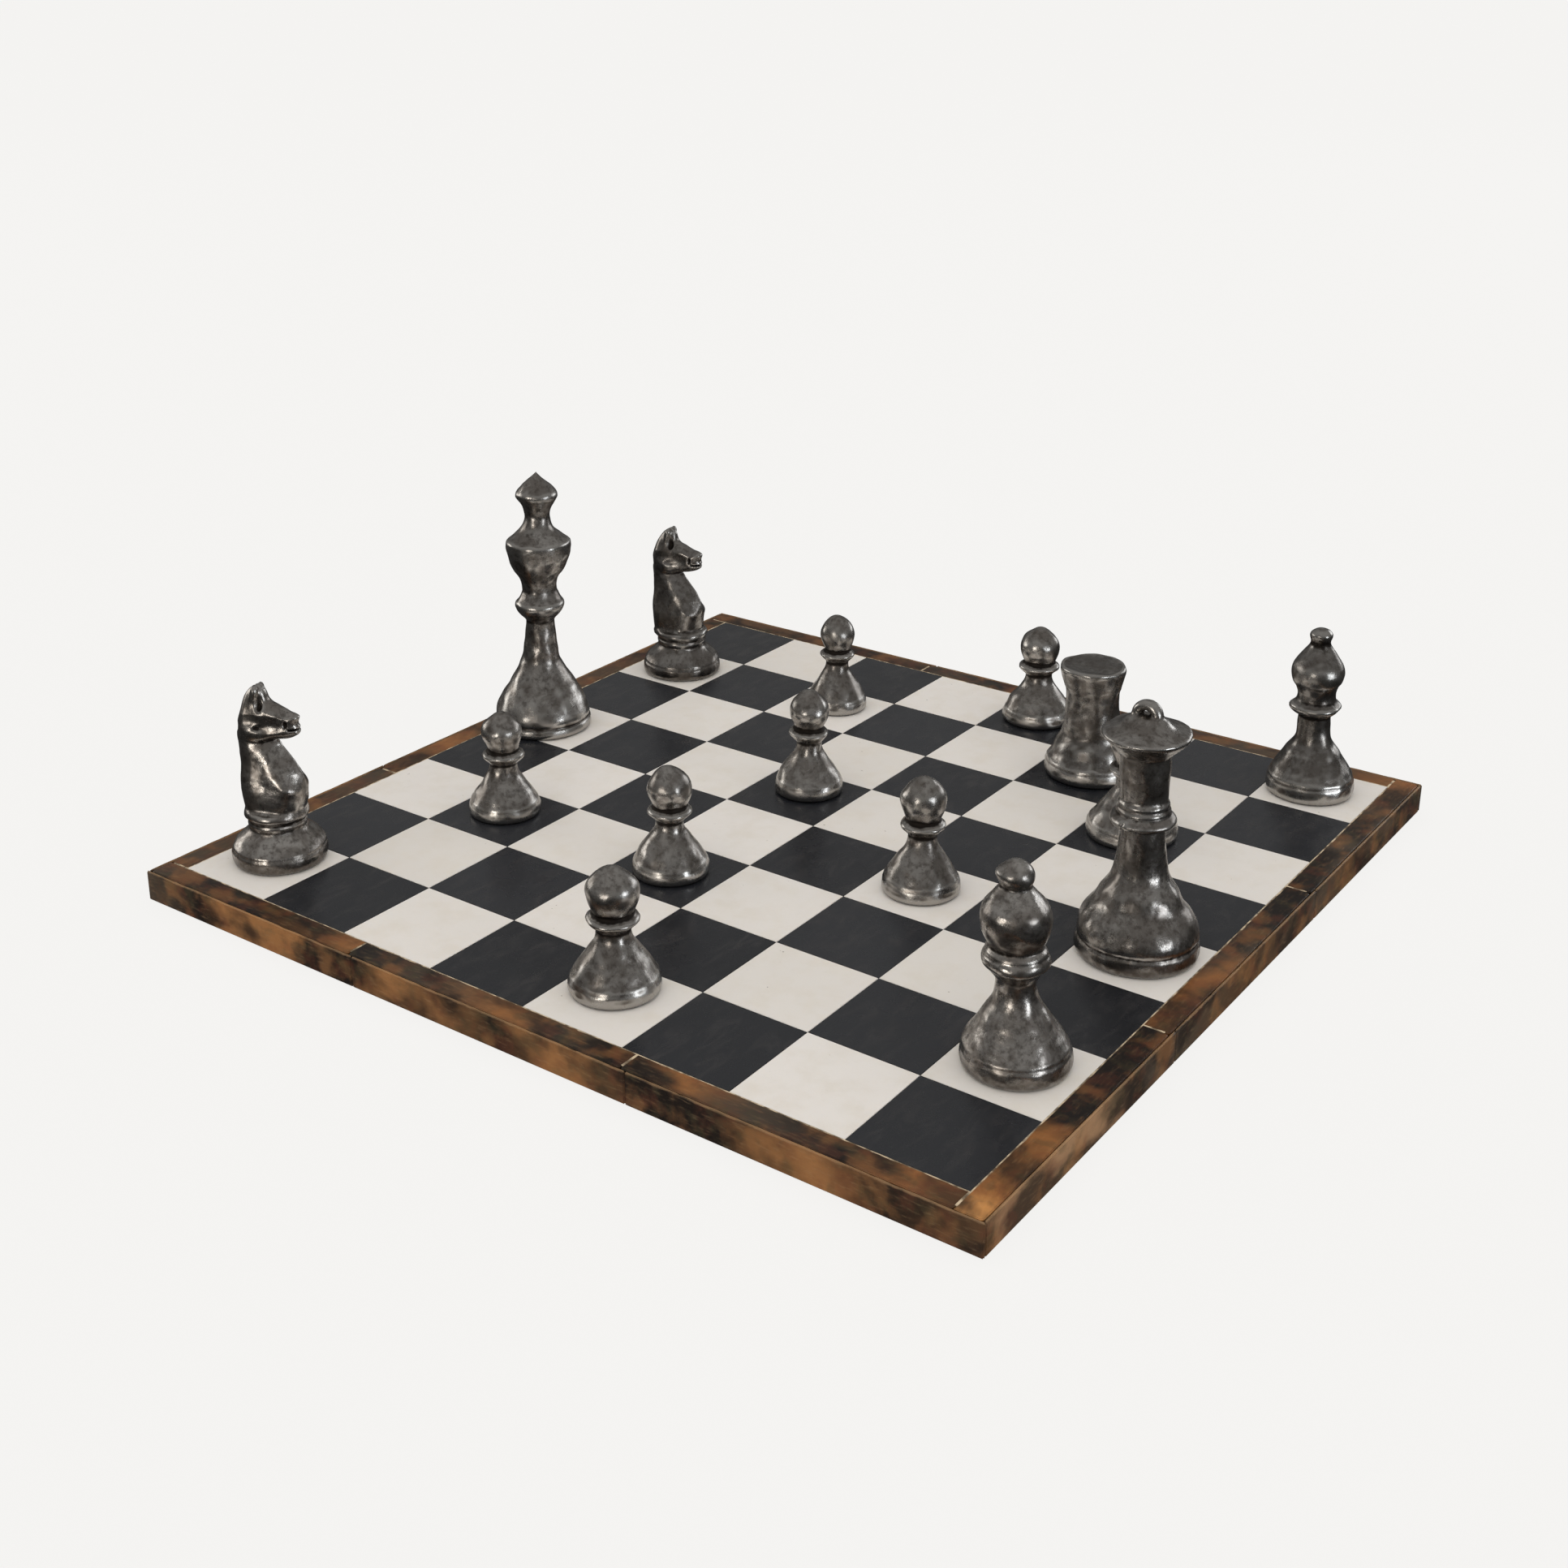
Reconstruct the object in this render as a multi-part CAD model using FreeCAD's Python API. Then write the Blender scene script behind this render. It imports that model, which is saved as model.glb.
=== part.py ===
"""Chess set in play: a horn and bone board with fifteen dark metal chessmen.

Millimetres, +Z up. The origin is the centre of the board's underside, where it
rests. +X and +Y run along the ranks of squares. Each separate piece of the real
object is one node, written to parts/NODE.step.
"""
import FreeCAD, Part
import math
import os

os.makedirs("parts", exist_ok=True)

V = FreeCAD.Vector

# Board
SQUARE = 45.0
SQUARES = 8
BORDER_WIDTH = 11.4
BAIZE_THICKNESS = 1.2
BAIZE_INSET = 3.0
CORE_THICKNESS = 8.8
INLAY_THICKNESS = 3.0
SIDE_THICKNESS = 1.2
SIDE_CLEARANCE = 0.3
GLUE_LINE = 0.1
EDGE_ROUNDING = 0.5

FIELD = SQUARE * SQUARES
HALF_FIELD = FIELD / 2
HALF_BOARD = HALF_FIELD + BORDER_WIDTH
CORE_TOP = BAIZE_THICKNESS + CORE_THICKNESS
BOARD_TOP = CORE_TOP + INLAY_THICKNESS
HALF_CORE = HALF_BOARD - SIDE_THICKNESS

# Seams between the three lengths of horn on each side, as shares of the field
FRONT_SEAMS = (0.285, 0.645)
RIGHT_SEAMS = (0.325, 0.680)
BACK_SEAMS = (0.340, 0.670)
LEFT_SEAMS = (0.320, 0.650)
SIDE_SEAM_SHIFT = 3.0

# Chessmen
FELT_THICKNESS = 0.8
FELT_INSET = 2.0
FELT_CLEARANCE = 0.1
RIM_GAP = 0.2

# Each chessman: the square it stands on, how far off that square's centre it
# stands, its base radius and its height above the board.
CHESSMEN = {
    "knight_left": ("knight", (0, 0), (-0.3, 6.6), 19.0, 74.7),
    "king": ("king", (0, 4), (-7.9, -5.7), 22.5, 122.9),
    "knight_back": ("knight", (0, 6), (1.4, -1.2), 19.1, 73.9),
    "bishop_front": ("bishop_with_thick_collar", (7, 1), (-0.8, 2.3), 18.7, 75.1),
    "queen": ("queen", (7, 3), (-2.0, 5.5), 22.8, 99.1),
    "bishop_back": ("bishop_with_thin_collar", (7, 7), (-4.1, -0.5), 18.6, 74.8),
    "rook": ("rook", (5, 6), (0.8, 5.4), 20.3, 51.3),
    "pawn_1": ("pawn", (4, 0), (-4.3, 6.1), 16.8, 48.3),
    "pawn_2": ("pawn", (3, 2), (0.1, -0.4), 15.5, 45.8),
    "pawn_3": ("pawn", (3, 4), (0.6, 6.1), 14.8, 46.8),
    "pawn_4": ("pawn", (2, 6), (1.7, 3.6), 14.4, 46.4),
    "pawn_5": ("pawn", (5, 3), (-1.3, 0.1), 15.5, 48.3),
    "pawn_6": ("pawn", (1, 2), (-1.2, 2.1), 15.1, 45.5),
    "pawn_7": ("pawn", (4, 7), (-3.0, 1.7), 16.3, 45.8),
    "pawn_8": ("pawn", (6, 5), (-2.1, 4.1), 18.9, 50.0),
}

# Which way each horse looks, in degrees from +X, and how far it is set back on
# its base, as a share of the base radius
KNIGHT_FACING = {"knight_left": 20.0, "knight_back": 5.0}
KNIGHT_SETBACK = {"knight_left": 0.0, "knight_back": 0.09}

# Turned outlines, in fractions of the base radius and of the height. Each entry
# is a stretch: a straight run, or a smooth curve through its points.
LINE = "line"
CURVE = "curve"


def foot(groove):
    """The plain drum and the groove that every chessman stands on."""
    return [
        (LINE, [(0, 0), (0.975, 0)]),
        (CURVE, [(0.975, 0), (1.0, groove * 0.3), (0.99, groove * 0.85)]),
        (LINE, [(0.99, groove * 0.85), (0.955, groove)]),
    ]


BISHOP_BASE = foot(0.10) + [
    (LINE, [(0.955, 0.10), (0.97, 0.108)]),
    (CURVE, [(0.97, 0.108), (0.91, 0.132), (0.865, 0.153), (0.812, 0.173), (0.756, 0.194),
             (0.70, 0.215), (0.655, 0.234)]),
    (CURVE, [(0.655, 0.234), (0.605, 0.257), (0.545, 0.277), (0.483, 0.298), (0.436, 0.319),
             (0.395, 0.35), (0.375, 0.39), (0.372, 0.43)]),
]
BISHOP_FULL_HEAD = [
    (CURVE, [(0.47, 0.597), (0.54, 0.632), (0.61, 0.673), (0.637, 0.715), (0.625, 0.757), (0.585, 0.785),
             (0.51, 0.81), (0.408, 0.84), (0.341, 0.861), (0.272, 0.882)]),
    (CURVE, [(0.272, 0.882), (0.30, 0.897), (0.318, 0.92), (0.303, 0.944), (0.261, 0.965),
             (0.156, 0.988), (0, 1.0)]),
]
BISHOP_SLIM_HEAD = [
    (CURVE, [(0.42, 0.615), (0.476, 0.653), (0.555, 0.685), (0.597, 0.73), (0.575, 0.768), (0.518, 0.798),
             (0.404, 0.84), (0.273, 0.882), (0.22, 0.905)]),
    (CURVE, [(0.22, 0.905), (0.222, 0.925), (0.252, 0.945), (0.25, 0.967), (0.154, 0.988), (0, 1.0)]),
]

OUTLINES = {
    "pawn": foot(0.12) + [
        (LINE, [(0.955, 0.12), (0.968, 0.128)]),
        (CURVE, [(0.968, 0.128), (0.91, 0.156), (0.84, 0.198), (0.763, 0.24), (0.675, 0.281),
                 (0.59, 0.323), (0.505, 0.365), (0.43, 0.406), (0.386, 0.448), (0.368, 0.50)]),
        (CURVE, [(0.368, 0.50), (0.45, 0.531), (0.55, 0.567)]),
        (CURVE, [(0.55, 0.567), (0.58, 0.581), (0.55, 0.60)]),
        (CURVE, [(0.55, 0.60), (0.48, 0.615), (0.42, 0.637)]),
        (CURVE, [(0.42, 0.637), (0.48, 0.685), (0.54, 0.738), (0.569, 0.80), (0.54, 0.855),
                 (0.45, 0.908), (0.30, 0.957), (0.15, 0.989), (0, 1.0)]),
    ],
    "king": foot(0.042) + [
        (LINE, [(0.955, 0.042), (0.975, 0.052)]),
        (CURVE, [(0.975, 0.052), (0.967, 0.07), (0.938, 0.087), (0.891, 0.108), (0.832, 0.129),
                 (0.759, 0.15), (0.689, 0.171)]),
        (CURVE, [(0.689, 0.171), (0.62, 0.192), (0.492, 0.233), (0.434, 0.254), (0.39, 0.275),
                 (0.35, 0.317), (0.31, 0.379), (0.288, 0.423)]),
        (LINE, [(0.288, 0.423), (0.33, 0.437)]),
        (CURVE, [(0.33, 0.437), (0.45, 0.463), (0.50, 0.483)]),
        (LINE, [(0.50, 0.483), (0.495, 0.495)]),
        (CURVE, [(0.495, 0.495), (0.42, 0.513), (0.345, 0.543)]),
        (LINE, [(0.345, 0.543), (0.345, 0.565)]),
        (CURVE, [(0.345, 0.565), (0.376, 0.587), (0.439, 0.608), (0.517, 0.629), (0.576, 0.65),
                 (0.633, 0.682), (0.658, 0.712)]),
        (LINE, [(0.658, 0.712), (0.65, 0.735)]),
        (CURVE, [(0.65, 0.735), (0.535, 0.752), (0.377, 0.775), (0.301, 0.796)]),
        (CURVE, [(0.301, 0.796), (0.252, 0.82), (0.247, 0.837), (0.282, 0.858), (0.338, 0.879),
                 (0.432, 0.905)]),
        (CURVE, [(0.432, 0.905), (0.42, 0.921), (0.328, 0.942), (0.208, 0.962), (0.087, 0.983), (0, 1.0)]),
    ],
    "queen": foot(0.075) + [
        (LINE, [(0.955, 0.075), (0.98, 0.087)]),
        (CURVE, [(0.98, 0.087), (0.972, 0.109), (0.948, 0.13), (0.905, 0.151), (0.845, 0.172),
                 (0.772, 0.193), (0.709, 0.213), (0.668, 0.232)]),
        (CURVE, [(0.668, 0.232), (0.622, 0.255), (0.564, 0.276), (0.507, 0.297), (0.46, 0.318),
                 (0.427, 0.338), (0.395, 0.37), (0.375, 0.41), (0.365, 0.46), (0.362, 0.522)]),
        (LINE, [(0.362, 0.522), (0.525, 0.534)]),
        (CURVE, [(0.525, 0.534), (0.533, 0.542), (0.50, 0.556), (0.42, 0.572)]),
        (CURVE, [(0.42, 0.572), (0.435, 0.583), (0.395, 0.594)]),
        (CURVE, [(0.395, 0.594), (0.41, 0.608), (0.37, 0.622)]),
        (CURVE, [(0.37, 0.622), (0.369, 0.651), (0.386, 0.693), (0.401, 0.734), (0.412, 0.80)]),
        (LINE, [(0.412, 0.80), (0.69, 0.866)]),
        (CURVE, [(0.69, 0.866), (0.707, 0.876), (0.68, 0.885)]),
        (CURVE, [(0.68, 0.885), (0.42, 0.905), (0.24, 0.925), (0, 0.94)]),
    ],
    "bishop_with_thick_collar": BISHOP_BASE + [
        (CURVE, [(0.372, 0.43), (0.44, 0.462), (0.52, 0.486), (0.60, 0.508)]),
        (LINE, [(0.60, 0.508), (0.607, 0.527), (0.585, 0.548), (0.545, 0.556)]),
        (CURVE, [(0.545, 0.556), (0.552, 0.57), (0.50, 0.588)]),
        (LINE, [(0.50, 0.588), (0.47, 0.597)]),
    ] + BISHOP_FULL_HEAD,
    "bishop_with_thin_collar": BISHOP_BASE + [
        (LINE, [(0.372, 0.43), (0.36, 0.475)]),
        (LINE, [(0.36, 0.475), (0.50, 0.50), (0.575, 0.522), (0.57, 0.535)]),
        (LINE, [(0.57, 0.535), (0.44, 0.565), (0.415, 0.59), (0.42, 0.615)]),
    ] + BISHOP_SLIM_HEAD,
    "rook": foot(0.13) + [
        (LINE, [(0.955, 0.13), (0.968, 0.14)]),
        (CURVE, [(0.968, 0.14), (0.915, 0.165), (0.86, 0.20), (0.80, 0.257), (0.75, 0.30)]),
        (CURVE, [(0.75, 0.30), (0.695, 0.343), (0.645, 0.39), (0.605, 0.48), (0.58, 0.56), (0.565, 0.66),
                 (0.57, 0.74)]),
        (LINE, [(0.57, 0.74), (0.582, 0.78), (0.605, 0.80), (0.615, 0.83)]),
        (CURVE, [(0.615, 0.83), (0.65, 0.885), (0.673, 0.926), (0.70, 0.965)]),
        (LINE, [(0.70, 0.965), (0.69, 0.985), (0.66, 1.0), (0, 1.0)]),
    ],
    "knight": foot(0.085) + [
        (LINE, [(0.955, 0.085), (0.968, 0.093)]),
        (CURVE, [(0.968, 0.093), (0.94, 0.103), (0.902, 0.119), (0.845, 0.135), (0.768, 0.151),
                 (0.694, 0.167), (0.637, 0.183), (0.60, 0.205)]),
        (CURVE, [(0.60, 0.205), (0.635, 0.225), (0.60, 0.245)]),
        (CURVE, [(0.60, 0.245), (0.67, 0.272), (0.64, 0.30)]),
        (LINE, [(0.64, 0.30), (0, 0.30)]),
    ],
}

# The queen's loop, in fractions of her base radius and height
LOOP_RADIUS = 0.25
LOOP_HOLE_RADIUS = 0.09
LOOP_THICKNESS = 0.24
LOOP_CENTRE = 0.943

# The horse, in fractions of the knight's base radius and height. A neck section
# is its height, centre, half length and half width. A head section is how far
# forward it is, its centre height, half height and half width.
NECK_SECTIONS = (
    (0.295, 0.00, 0.665, 0.47),
    (0.36, 0.01, 0.69, 0.47),
    (0.44, 0.03, 0.72, 0.46),
    (0.50, 0.03, 0.71, 0.44),
    (0.56, -0.03, 0.66, 0.42),
    (0.62, -0.13, 0.57, 0.38),
    (0.68, -0.24, 0.46, 0.34),
    (0.79, -0.32, 0.38, 0.30),
    (0.89, -0.27, 0.31, 0.24),
    (0.95, -0.22, 0.22, 0.15),
    (1.00, -0.17, 0.05, 0.06),
)
HEAD_SECTIONS = (
    (-0.66, 0.745, 0.060, 0.24),
    (-0.30, 0.758, 0.098, 0.29),
    (0.05, 0.797, 0.106, 0.27),
    (0.35, 0.795, 0.082, 0.22),
    (0.60, 0.794, 0.060, 0.18),
    (0.71, 0.795, 0.040, 0.14),
)

NODES = {}


def add(name, shape):
    """Keep one named sub-part."""
    NODES[name] = shape


def block(low, high):
    """A box between two opposite corners."""
    size = [b - a for a, b in zip(low, high)]
    return Part.makeBox(*size, V(*low))


def side_strip(low, high, rim_centre):
    """A side strip with its outer top edge eased; that edge runs past rim_centre."""
    strip = block(low, high)
    eased = [edge for edge in strip.Edges if edge.CenterOfMass.distanceToPoint(rim_centre) < 0.01]
    return strip.makeFillet(EDGE_ROUNDING, eased)


def board_core():
    low = (-HALF_CORE, -HALF_CORE, BAIZE_THICKNESS)
    high = (HALF_CORE, HALF_CORE, CORE_TOP)
    return block(low, high)


def baize():
    reach = HALF_BOARD - BAIZE_INSET
    return block((-reach, -reach, 0), (reach, reach, BAIZE_THICKNESS))


def tiles(parity):
    """The 32 tiles of one colour, each its own solid."""
    solids = []
    for column in range(SQUARES):
        for row in range(SQUARES):
            if (column + row) % 2 != parity:
                continue
            x = column * SQUARE - HALF_FIELD
            y = row * SQUARE - HALF_FIELD
            low = (x + GLUE_LINE / 2, y + GLUE_LINE / 2, CORE_TOP)
            high = (x + SQUARE - GLUE_LINE / 2, y + SQUARE - GLUE_LINE / 2, BOARD_TOP)
            solids.append(block(low, high))
    return Part.makeCompound(solids)


def spans(start, end, seams):
    """The three lengths of horn between start and end, cut at the seams."""
    cuts = [start] + [share * FIELD - HALF_FIELD for share in seams] + [end]
    return [(a, b - GLUE_LINE) for a, b in zip(cuts, cuts[1:])]


def add_border():
    """Twelve top strips, then the twelve thin strips that face the sides.

    On top, the front strips run through the left corner and the right strips
    through both of theirs; the back strips run through the back corner. The
    side strips reach up to the top face, so their top edges frame it.
    """
    inner = HALF_FIELD + GLUE_LINE / 2
    outer = HALF_BOARD - SIDE_THICKNESS - GLUE_LINE
    top_rows = {
        "front": ("x", -outer, -inner, spans(-outer, inner, FRONT_SEAMS)),
        "right": ("y", inner, outer, spans(-outer, outer + GLUE_LINE, RIGHT_SEAMS)),
        "back": ("x", inner, outer, spans(-outer, inner, BACK_SEAMS)),
        "left": ("y", -outer, -inner, spans(-inner + GLUE_LINE, inner, LEFT_SEAMS)),
    }
    for side, (along, near, far, stretches) in top_rows.items():
        for number, (start, end) in enumerate(stretches, 1):
            if along == "x":
                low, high = (start, near, CORE_TOP), (end, far, BOARD_TOP)
            else:
                low, high = (near, start, CORE_TOP), (far, end, BOARD_TOP)
            add(f"border_top_{side}_{number}", block(low, high))

    face = HALF_BOARD
    back = HALF_BOARD - SIDE_THICKNESS
    side_rows = {
        "front": ("x", -face, -back, -face, spans(-face, face + GLUE_LINE, FRONT_SEAMS)),
        "right": ("y", back, face, face, spans(-outer, back, RIGHT_SEAMS)),
        "back": ("x", back, face, face, spans(-face, face + GLUE_LINE, BACK_SEAMS)),
        "left": ("y", -face, -back, -face, spans(-outer, back, LEFT_SEAMS)),
    }
    for side, (along, near, far, rim, stretches) in side_rows.items():
        for number, (start, end) in enumerate(stretches, 1):
            start += SIDE_SEAM_SHIFT if number > 1 else 0
            end += SIDE_SEAM_SHIFT if number < len(stretches) else 0
            middle = (start + end) / 2
            if along == "x":
                low, high = (start, near, SIDE_CLEARANCE), (end, far, BOARD_TOP)
                rim_centre = V(middle, rim, BOARD_TOP)
            else:
                low, high = (near, start, SIDE_CLEARANCE), (far, end, BOARD_TOP)
                rim_centre = V(rim, middle, BOARD_TOP)
            add(f"border_side_{side}_{number}", side_strip(low, high, rim_centre))


def turned(kind, radius, height):
    """A solid of revolution from one of the outlines."""
    edges = []
    for form, points in OUTLINES[kind]:
        places = [V(r * radius, 0, z * height) for r, z in points]
        if form == LINE:
            edges += [Part.LineSegment(a, b).toShape() for a, b in zip(places, places[1:])]
        else:
            curve = Part.BSplineCurve()
            curve.interpolate(places)
            edges.append(curve.toShape())
    top = edges[-1].Vertexes[-1].Point
    edges.append(Part.LineSegment(top, V(0, 0, 0)).toShape())
    face = Part.Face(Part.Wire(edges))
    return face.revolve(V(0, 0, 0), V(0, 0, 1), 360)


def ellipse_wire(centre, normal, long_axis, half_long, half_short):
    """A closed ellipse; long_axis is the direction of half_long."""
    if half_long < half_short:
        half_long, half_short = half_short, half_long
        long_axis = normal.cross(long_axis)
    short_axis = normal.cross(long_axis)
    oval = Part.Ellipse(centre + long_axis * half_long, centre + short_axis * half_short, centre)
    return Part.Wire(oval.toShape())


def horse(radius, height):
    """Neck, ears and head of the knight, facing +X."""
    up, ahead = V(0, 0, 1), V(1, 0, 0)
    neck_wires = [
        ellipse_wire(V(centre * radius, 0, z * height), up, ahead, long * radius, wide * radius)
        for z, centre, long, wide in NECK_SECTIONS
    ]
    head_wires = [
        ellipse_wire(V(x * radius, 0, z * height), ahead, up, tall * height, wide * radius)
        for x, z, tall, wide in HEAD_SECTIONS
    ]
    neck = Part.makeLoft(neck_wires, True)
    head = Part.makeLoft(head_wires, True)
    return neck.fuse(head)


def loop(radius, height):
    """The upright loop on the queen's hat, and its hole."""
    thickness = LOOP_THICKNESS * radius
    start = V(0, -thickness / 2, LOOP_CENTRE * height)
    disc = Part.makeCylinder(LOOP_RADIUS * radius, thickness, start, V(0, 1, 0))
    hole_start = start - V(0, radius, 0)
    hole = Part.makeCylinder(LOOP_HOLE_RADIUS * radius, 3 * radius, hole_start, V(0, 1, 0))
    return disc, hole


def casting(name, kind, radius, height):
    """One metal chessman standing on z = 0."""
    solid = turned(kind, radius, height)
    if kind == "knight":
        body = horse(radius, height)
        body.translate(V(-KNIGHT_SETBACK[name] * radius, 0, 0))
        body.rotate(V(0, 0, 0), V(0, 0, 1), KNIGHT_FACING[name])
        solid = solid.fuse(body)
    if kind == "queen":
        disc, hole = loop(radius, height)
        solid = solid.fuse(disc).cut(hole)
    recess = Part.makeCylinder(radius - FELT_INSET + FELT_CLEARANCE, FELT_THICKNESS - RIM_GAP)
    return solid.removeSplitter().cut(recess)


def add_chessmen():
    """Each chessman is a casting with a felt disc glued into its hollow foot."""
    for name, (kind, square, offset, radius, total) in CHESSMEN.items():
        x = (square[0] + 0.5) * SQUARE - HALF_FIELD + offset[0]
        y = (square[1] + 0.5) * SQUARE - HALF_FIELD + offset[1]
        felt = Part.makeCylinder(radius - FELT_INSET, FELT_THICKNESS, V(x, y, BOARD_TOP))
        metal = casting(name, kind, radius, total - RIM_GAP)
        metal.translate(V(x, y, BOARD_TOP + RIM_GAP))
        add(name, metal)
        add(f"{name}_felt", felt)


add("board_core", board_core())
add("baize", baize())
add("light_tiles", tiles(0))
add("dark_tiles", tiles(1))
add_border()
add_chessmen()

for name, shape in NODES.items():
    shape.exportStep(f"parts/{name}.step")
    solids = shape.Solids
    valid = all(solid.isValid() and solid.Volume > 0 for solid in solids)
    print(f"{name}: {len(solids)} solid(s), valid {valid}, {shape.Volume / 1000:.2f} cm3")
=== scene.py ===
"""Looks for the chess set: cast metal chessmen on a board of bone and horn.

Metres throughout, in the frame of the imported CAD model. Every place and overall
size comes from the CAD nodes' boxes; a chessman's outline is given in fractions
of its base radius and its height.
"""

import math

import bmesh
import bpy
import numpy as np
import openvdb
from mathutils import Matrix, Vector


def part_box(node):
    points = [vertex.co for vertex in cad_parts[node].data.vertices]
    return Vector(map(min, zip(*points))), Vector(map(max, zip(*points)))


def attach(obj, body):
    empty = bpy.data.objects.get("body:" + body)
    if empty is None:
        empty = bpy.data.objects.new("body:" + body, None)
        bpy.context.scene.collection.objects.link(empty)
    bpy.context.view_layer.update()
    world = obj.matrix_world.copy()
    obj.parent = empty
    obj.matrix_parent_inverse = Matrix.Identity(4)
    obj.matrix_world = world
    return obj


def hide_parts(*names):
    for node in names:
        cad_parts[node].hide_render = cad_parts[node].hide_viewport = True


MM = 0.001
SQUARE = 45 * MM

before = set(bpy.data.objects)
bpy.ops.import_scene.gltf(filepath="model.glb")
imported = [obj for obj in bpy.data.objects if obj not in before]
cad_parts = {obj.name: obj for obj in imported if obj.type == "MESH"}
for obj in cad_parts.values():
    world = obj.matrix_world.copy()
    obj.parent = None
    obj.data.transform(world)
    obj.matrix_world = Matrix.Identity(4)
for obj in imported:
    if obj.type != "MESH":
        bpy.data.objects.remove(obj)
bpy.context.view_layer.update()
BOARD_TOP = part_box("light_tiles")[1].z

# ---------------------------------------------------------------- chessmen

# How far each casting's top leans along LEAN_DIRECTION from its foot's centre
LEAN_DIRECTION = (0.803, 0.596)
LEANS = {
    "king": 1.0 * MM,
    "queen": -2.3 * MM,
    "bishop_front": -3.3 * MM,
    "bishop_back": -1.5 * MM,
    "rook": -1.6 * MM,
    "pawn_7": -0.7 * MM,
}
KIND_OF = {
    "knight_left": "knight",
    "knight_back": "knight",
    "bishop_front": "bishop_with_thick_collar",
    "bishop_back": "bishop_with_thin_collar",
    "king": "king",
    "queen": "queen",
    "rook": "rook",
}
KIND_OF.update({f"pawn_{number}": "pawn" for number in range(1, 9)})

# Painted light: how much brighter or duller than the others a chessman's metal is painted, the near ones lit
# and the far ones shaded, though all are of one metal
PAINTED_BRIGHTNESS = {"knight_left": 1.2, "bishop_front": 1.2, "knight_back": 0.8, "bishop_back": 0.72, "rook": 0.72}

# Which way each horse looks, and how far it is set back, as a share of its radius
KNIGHT_FACING = {"knight_left": math.radians(20), "knight_back": math.radians(5)}
KNIGHT_SETBACK = {"knight_left": 0.0, "knight_back": 0.09}

LINE = "line"
CURVE = "curve"


def foot(groove):
    """The plain drum and the groove that every chessman stands on."""
    return [
        (LINE, [(0.90, 0.012), (0.955, 0)]),
        (CURVE, [(0.955, 0), (1.0, groove * 0.3), (0.99, groove * 0.85)]),
        (LINE, [(0.99, groove * 0.85), (0.952, groove)]),
    ]


BISHOP_BASE = foot(0.10) + [
    (LINE, [(0.952, 0.10), (0.97, 0.108)]),
    (CURVE, [(0.97, 0.108), (0.91, 0.132), (0.865, 0.153), (0.812, 0.173), (0.756, 0.194),
             (0.70, 0.215), (0.655, 0.234)]),
    (CURVE, [(0.655, 0.234), (0.605, 0.257), (0.545, 0.277), (0.483, 0.298), (0.436, 0.319),
             (0.395, 0.35), (0.375, 0.39), (0.372, 0.43)]),
]
BISHOP_FULL_HEAD = [
    (CURVE, [(0.47, 0.597), (0.54, 0.632), (0.61, 0.673), (0.637, 0.715), (0.625, 0.757), (0.585, 0.785),
             (0.51, 0.81), (0.408, 0.84), (0.341, 0.861), (0.272, 0.882)]),
    (CURVE, [(0.272, 0.882), (0.30, 0.897), (0.318, 0.92), (0.303, 0.944), (0.261, 0.965),
             (0.156, 0.988), (0, 1.0)]),
]
BISHOP_SLIM_HEAD = [
    (CURVE, [(0.42, 0.615), (0.476, 0.653), (0.555, 0.685), (0.597, 0.73), (0.575, 0.768), (0.518, 0.798),
             (0.404, 0.84), (0.273, 0.882), (0.22, 0.905)]),
    (CURVE, [(0.22, 0.905), (0.222, 0.925), (0.252, 0.945), (0.25, 0.967), (0.154, 0.988), (0, 1.0)]),
]

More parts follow.
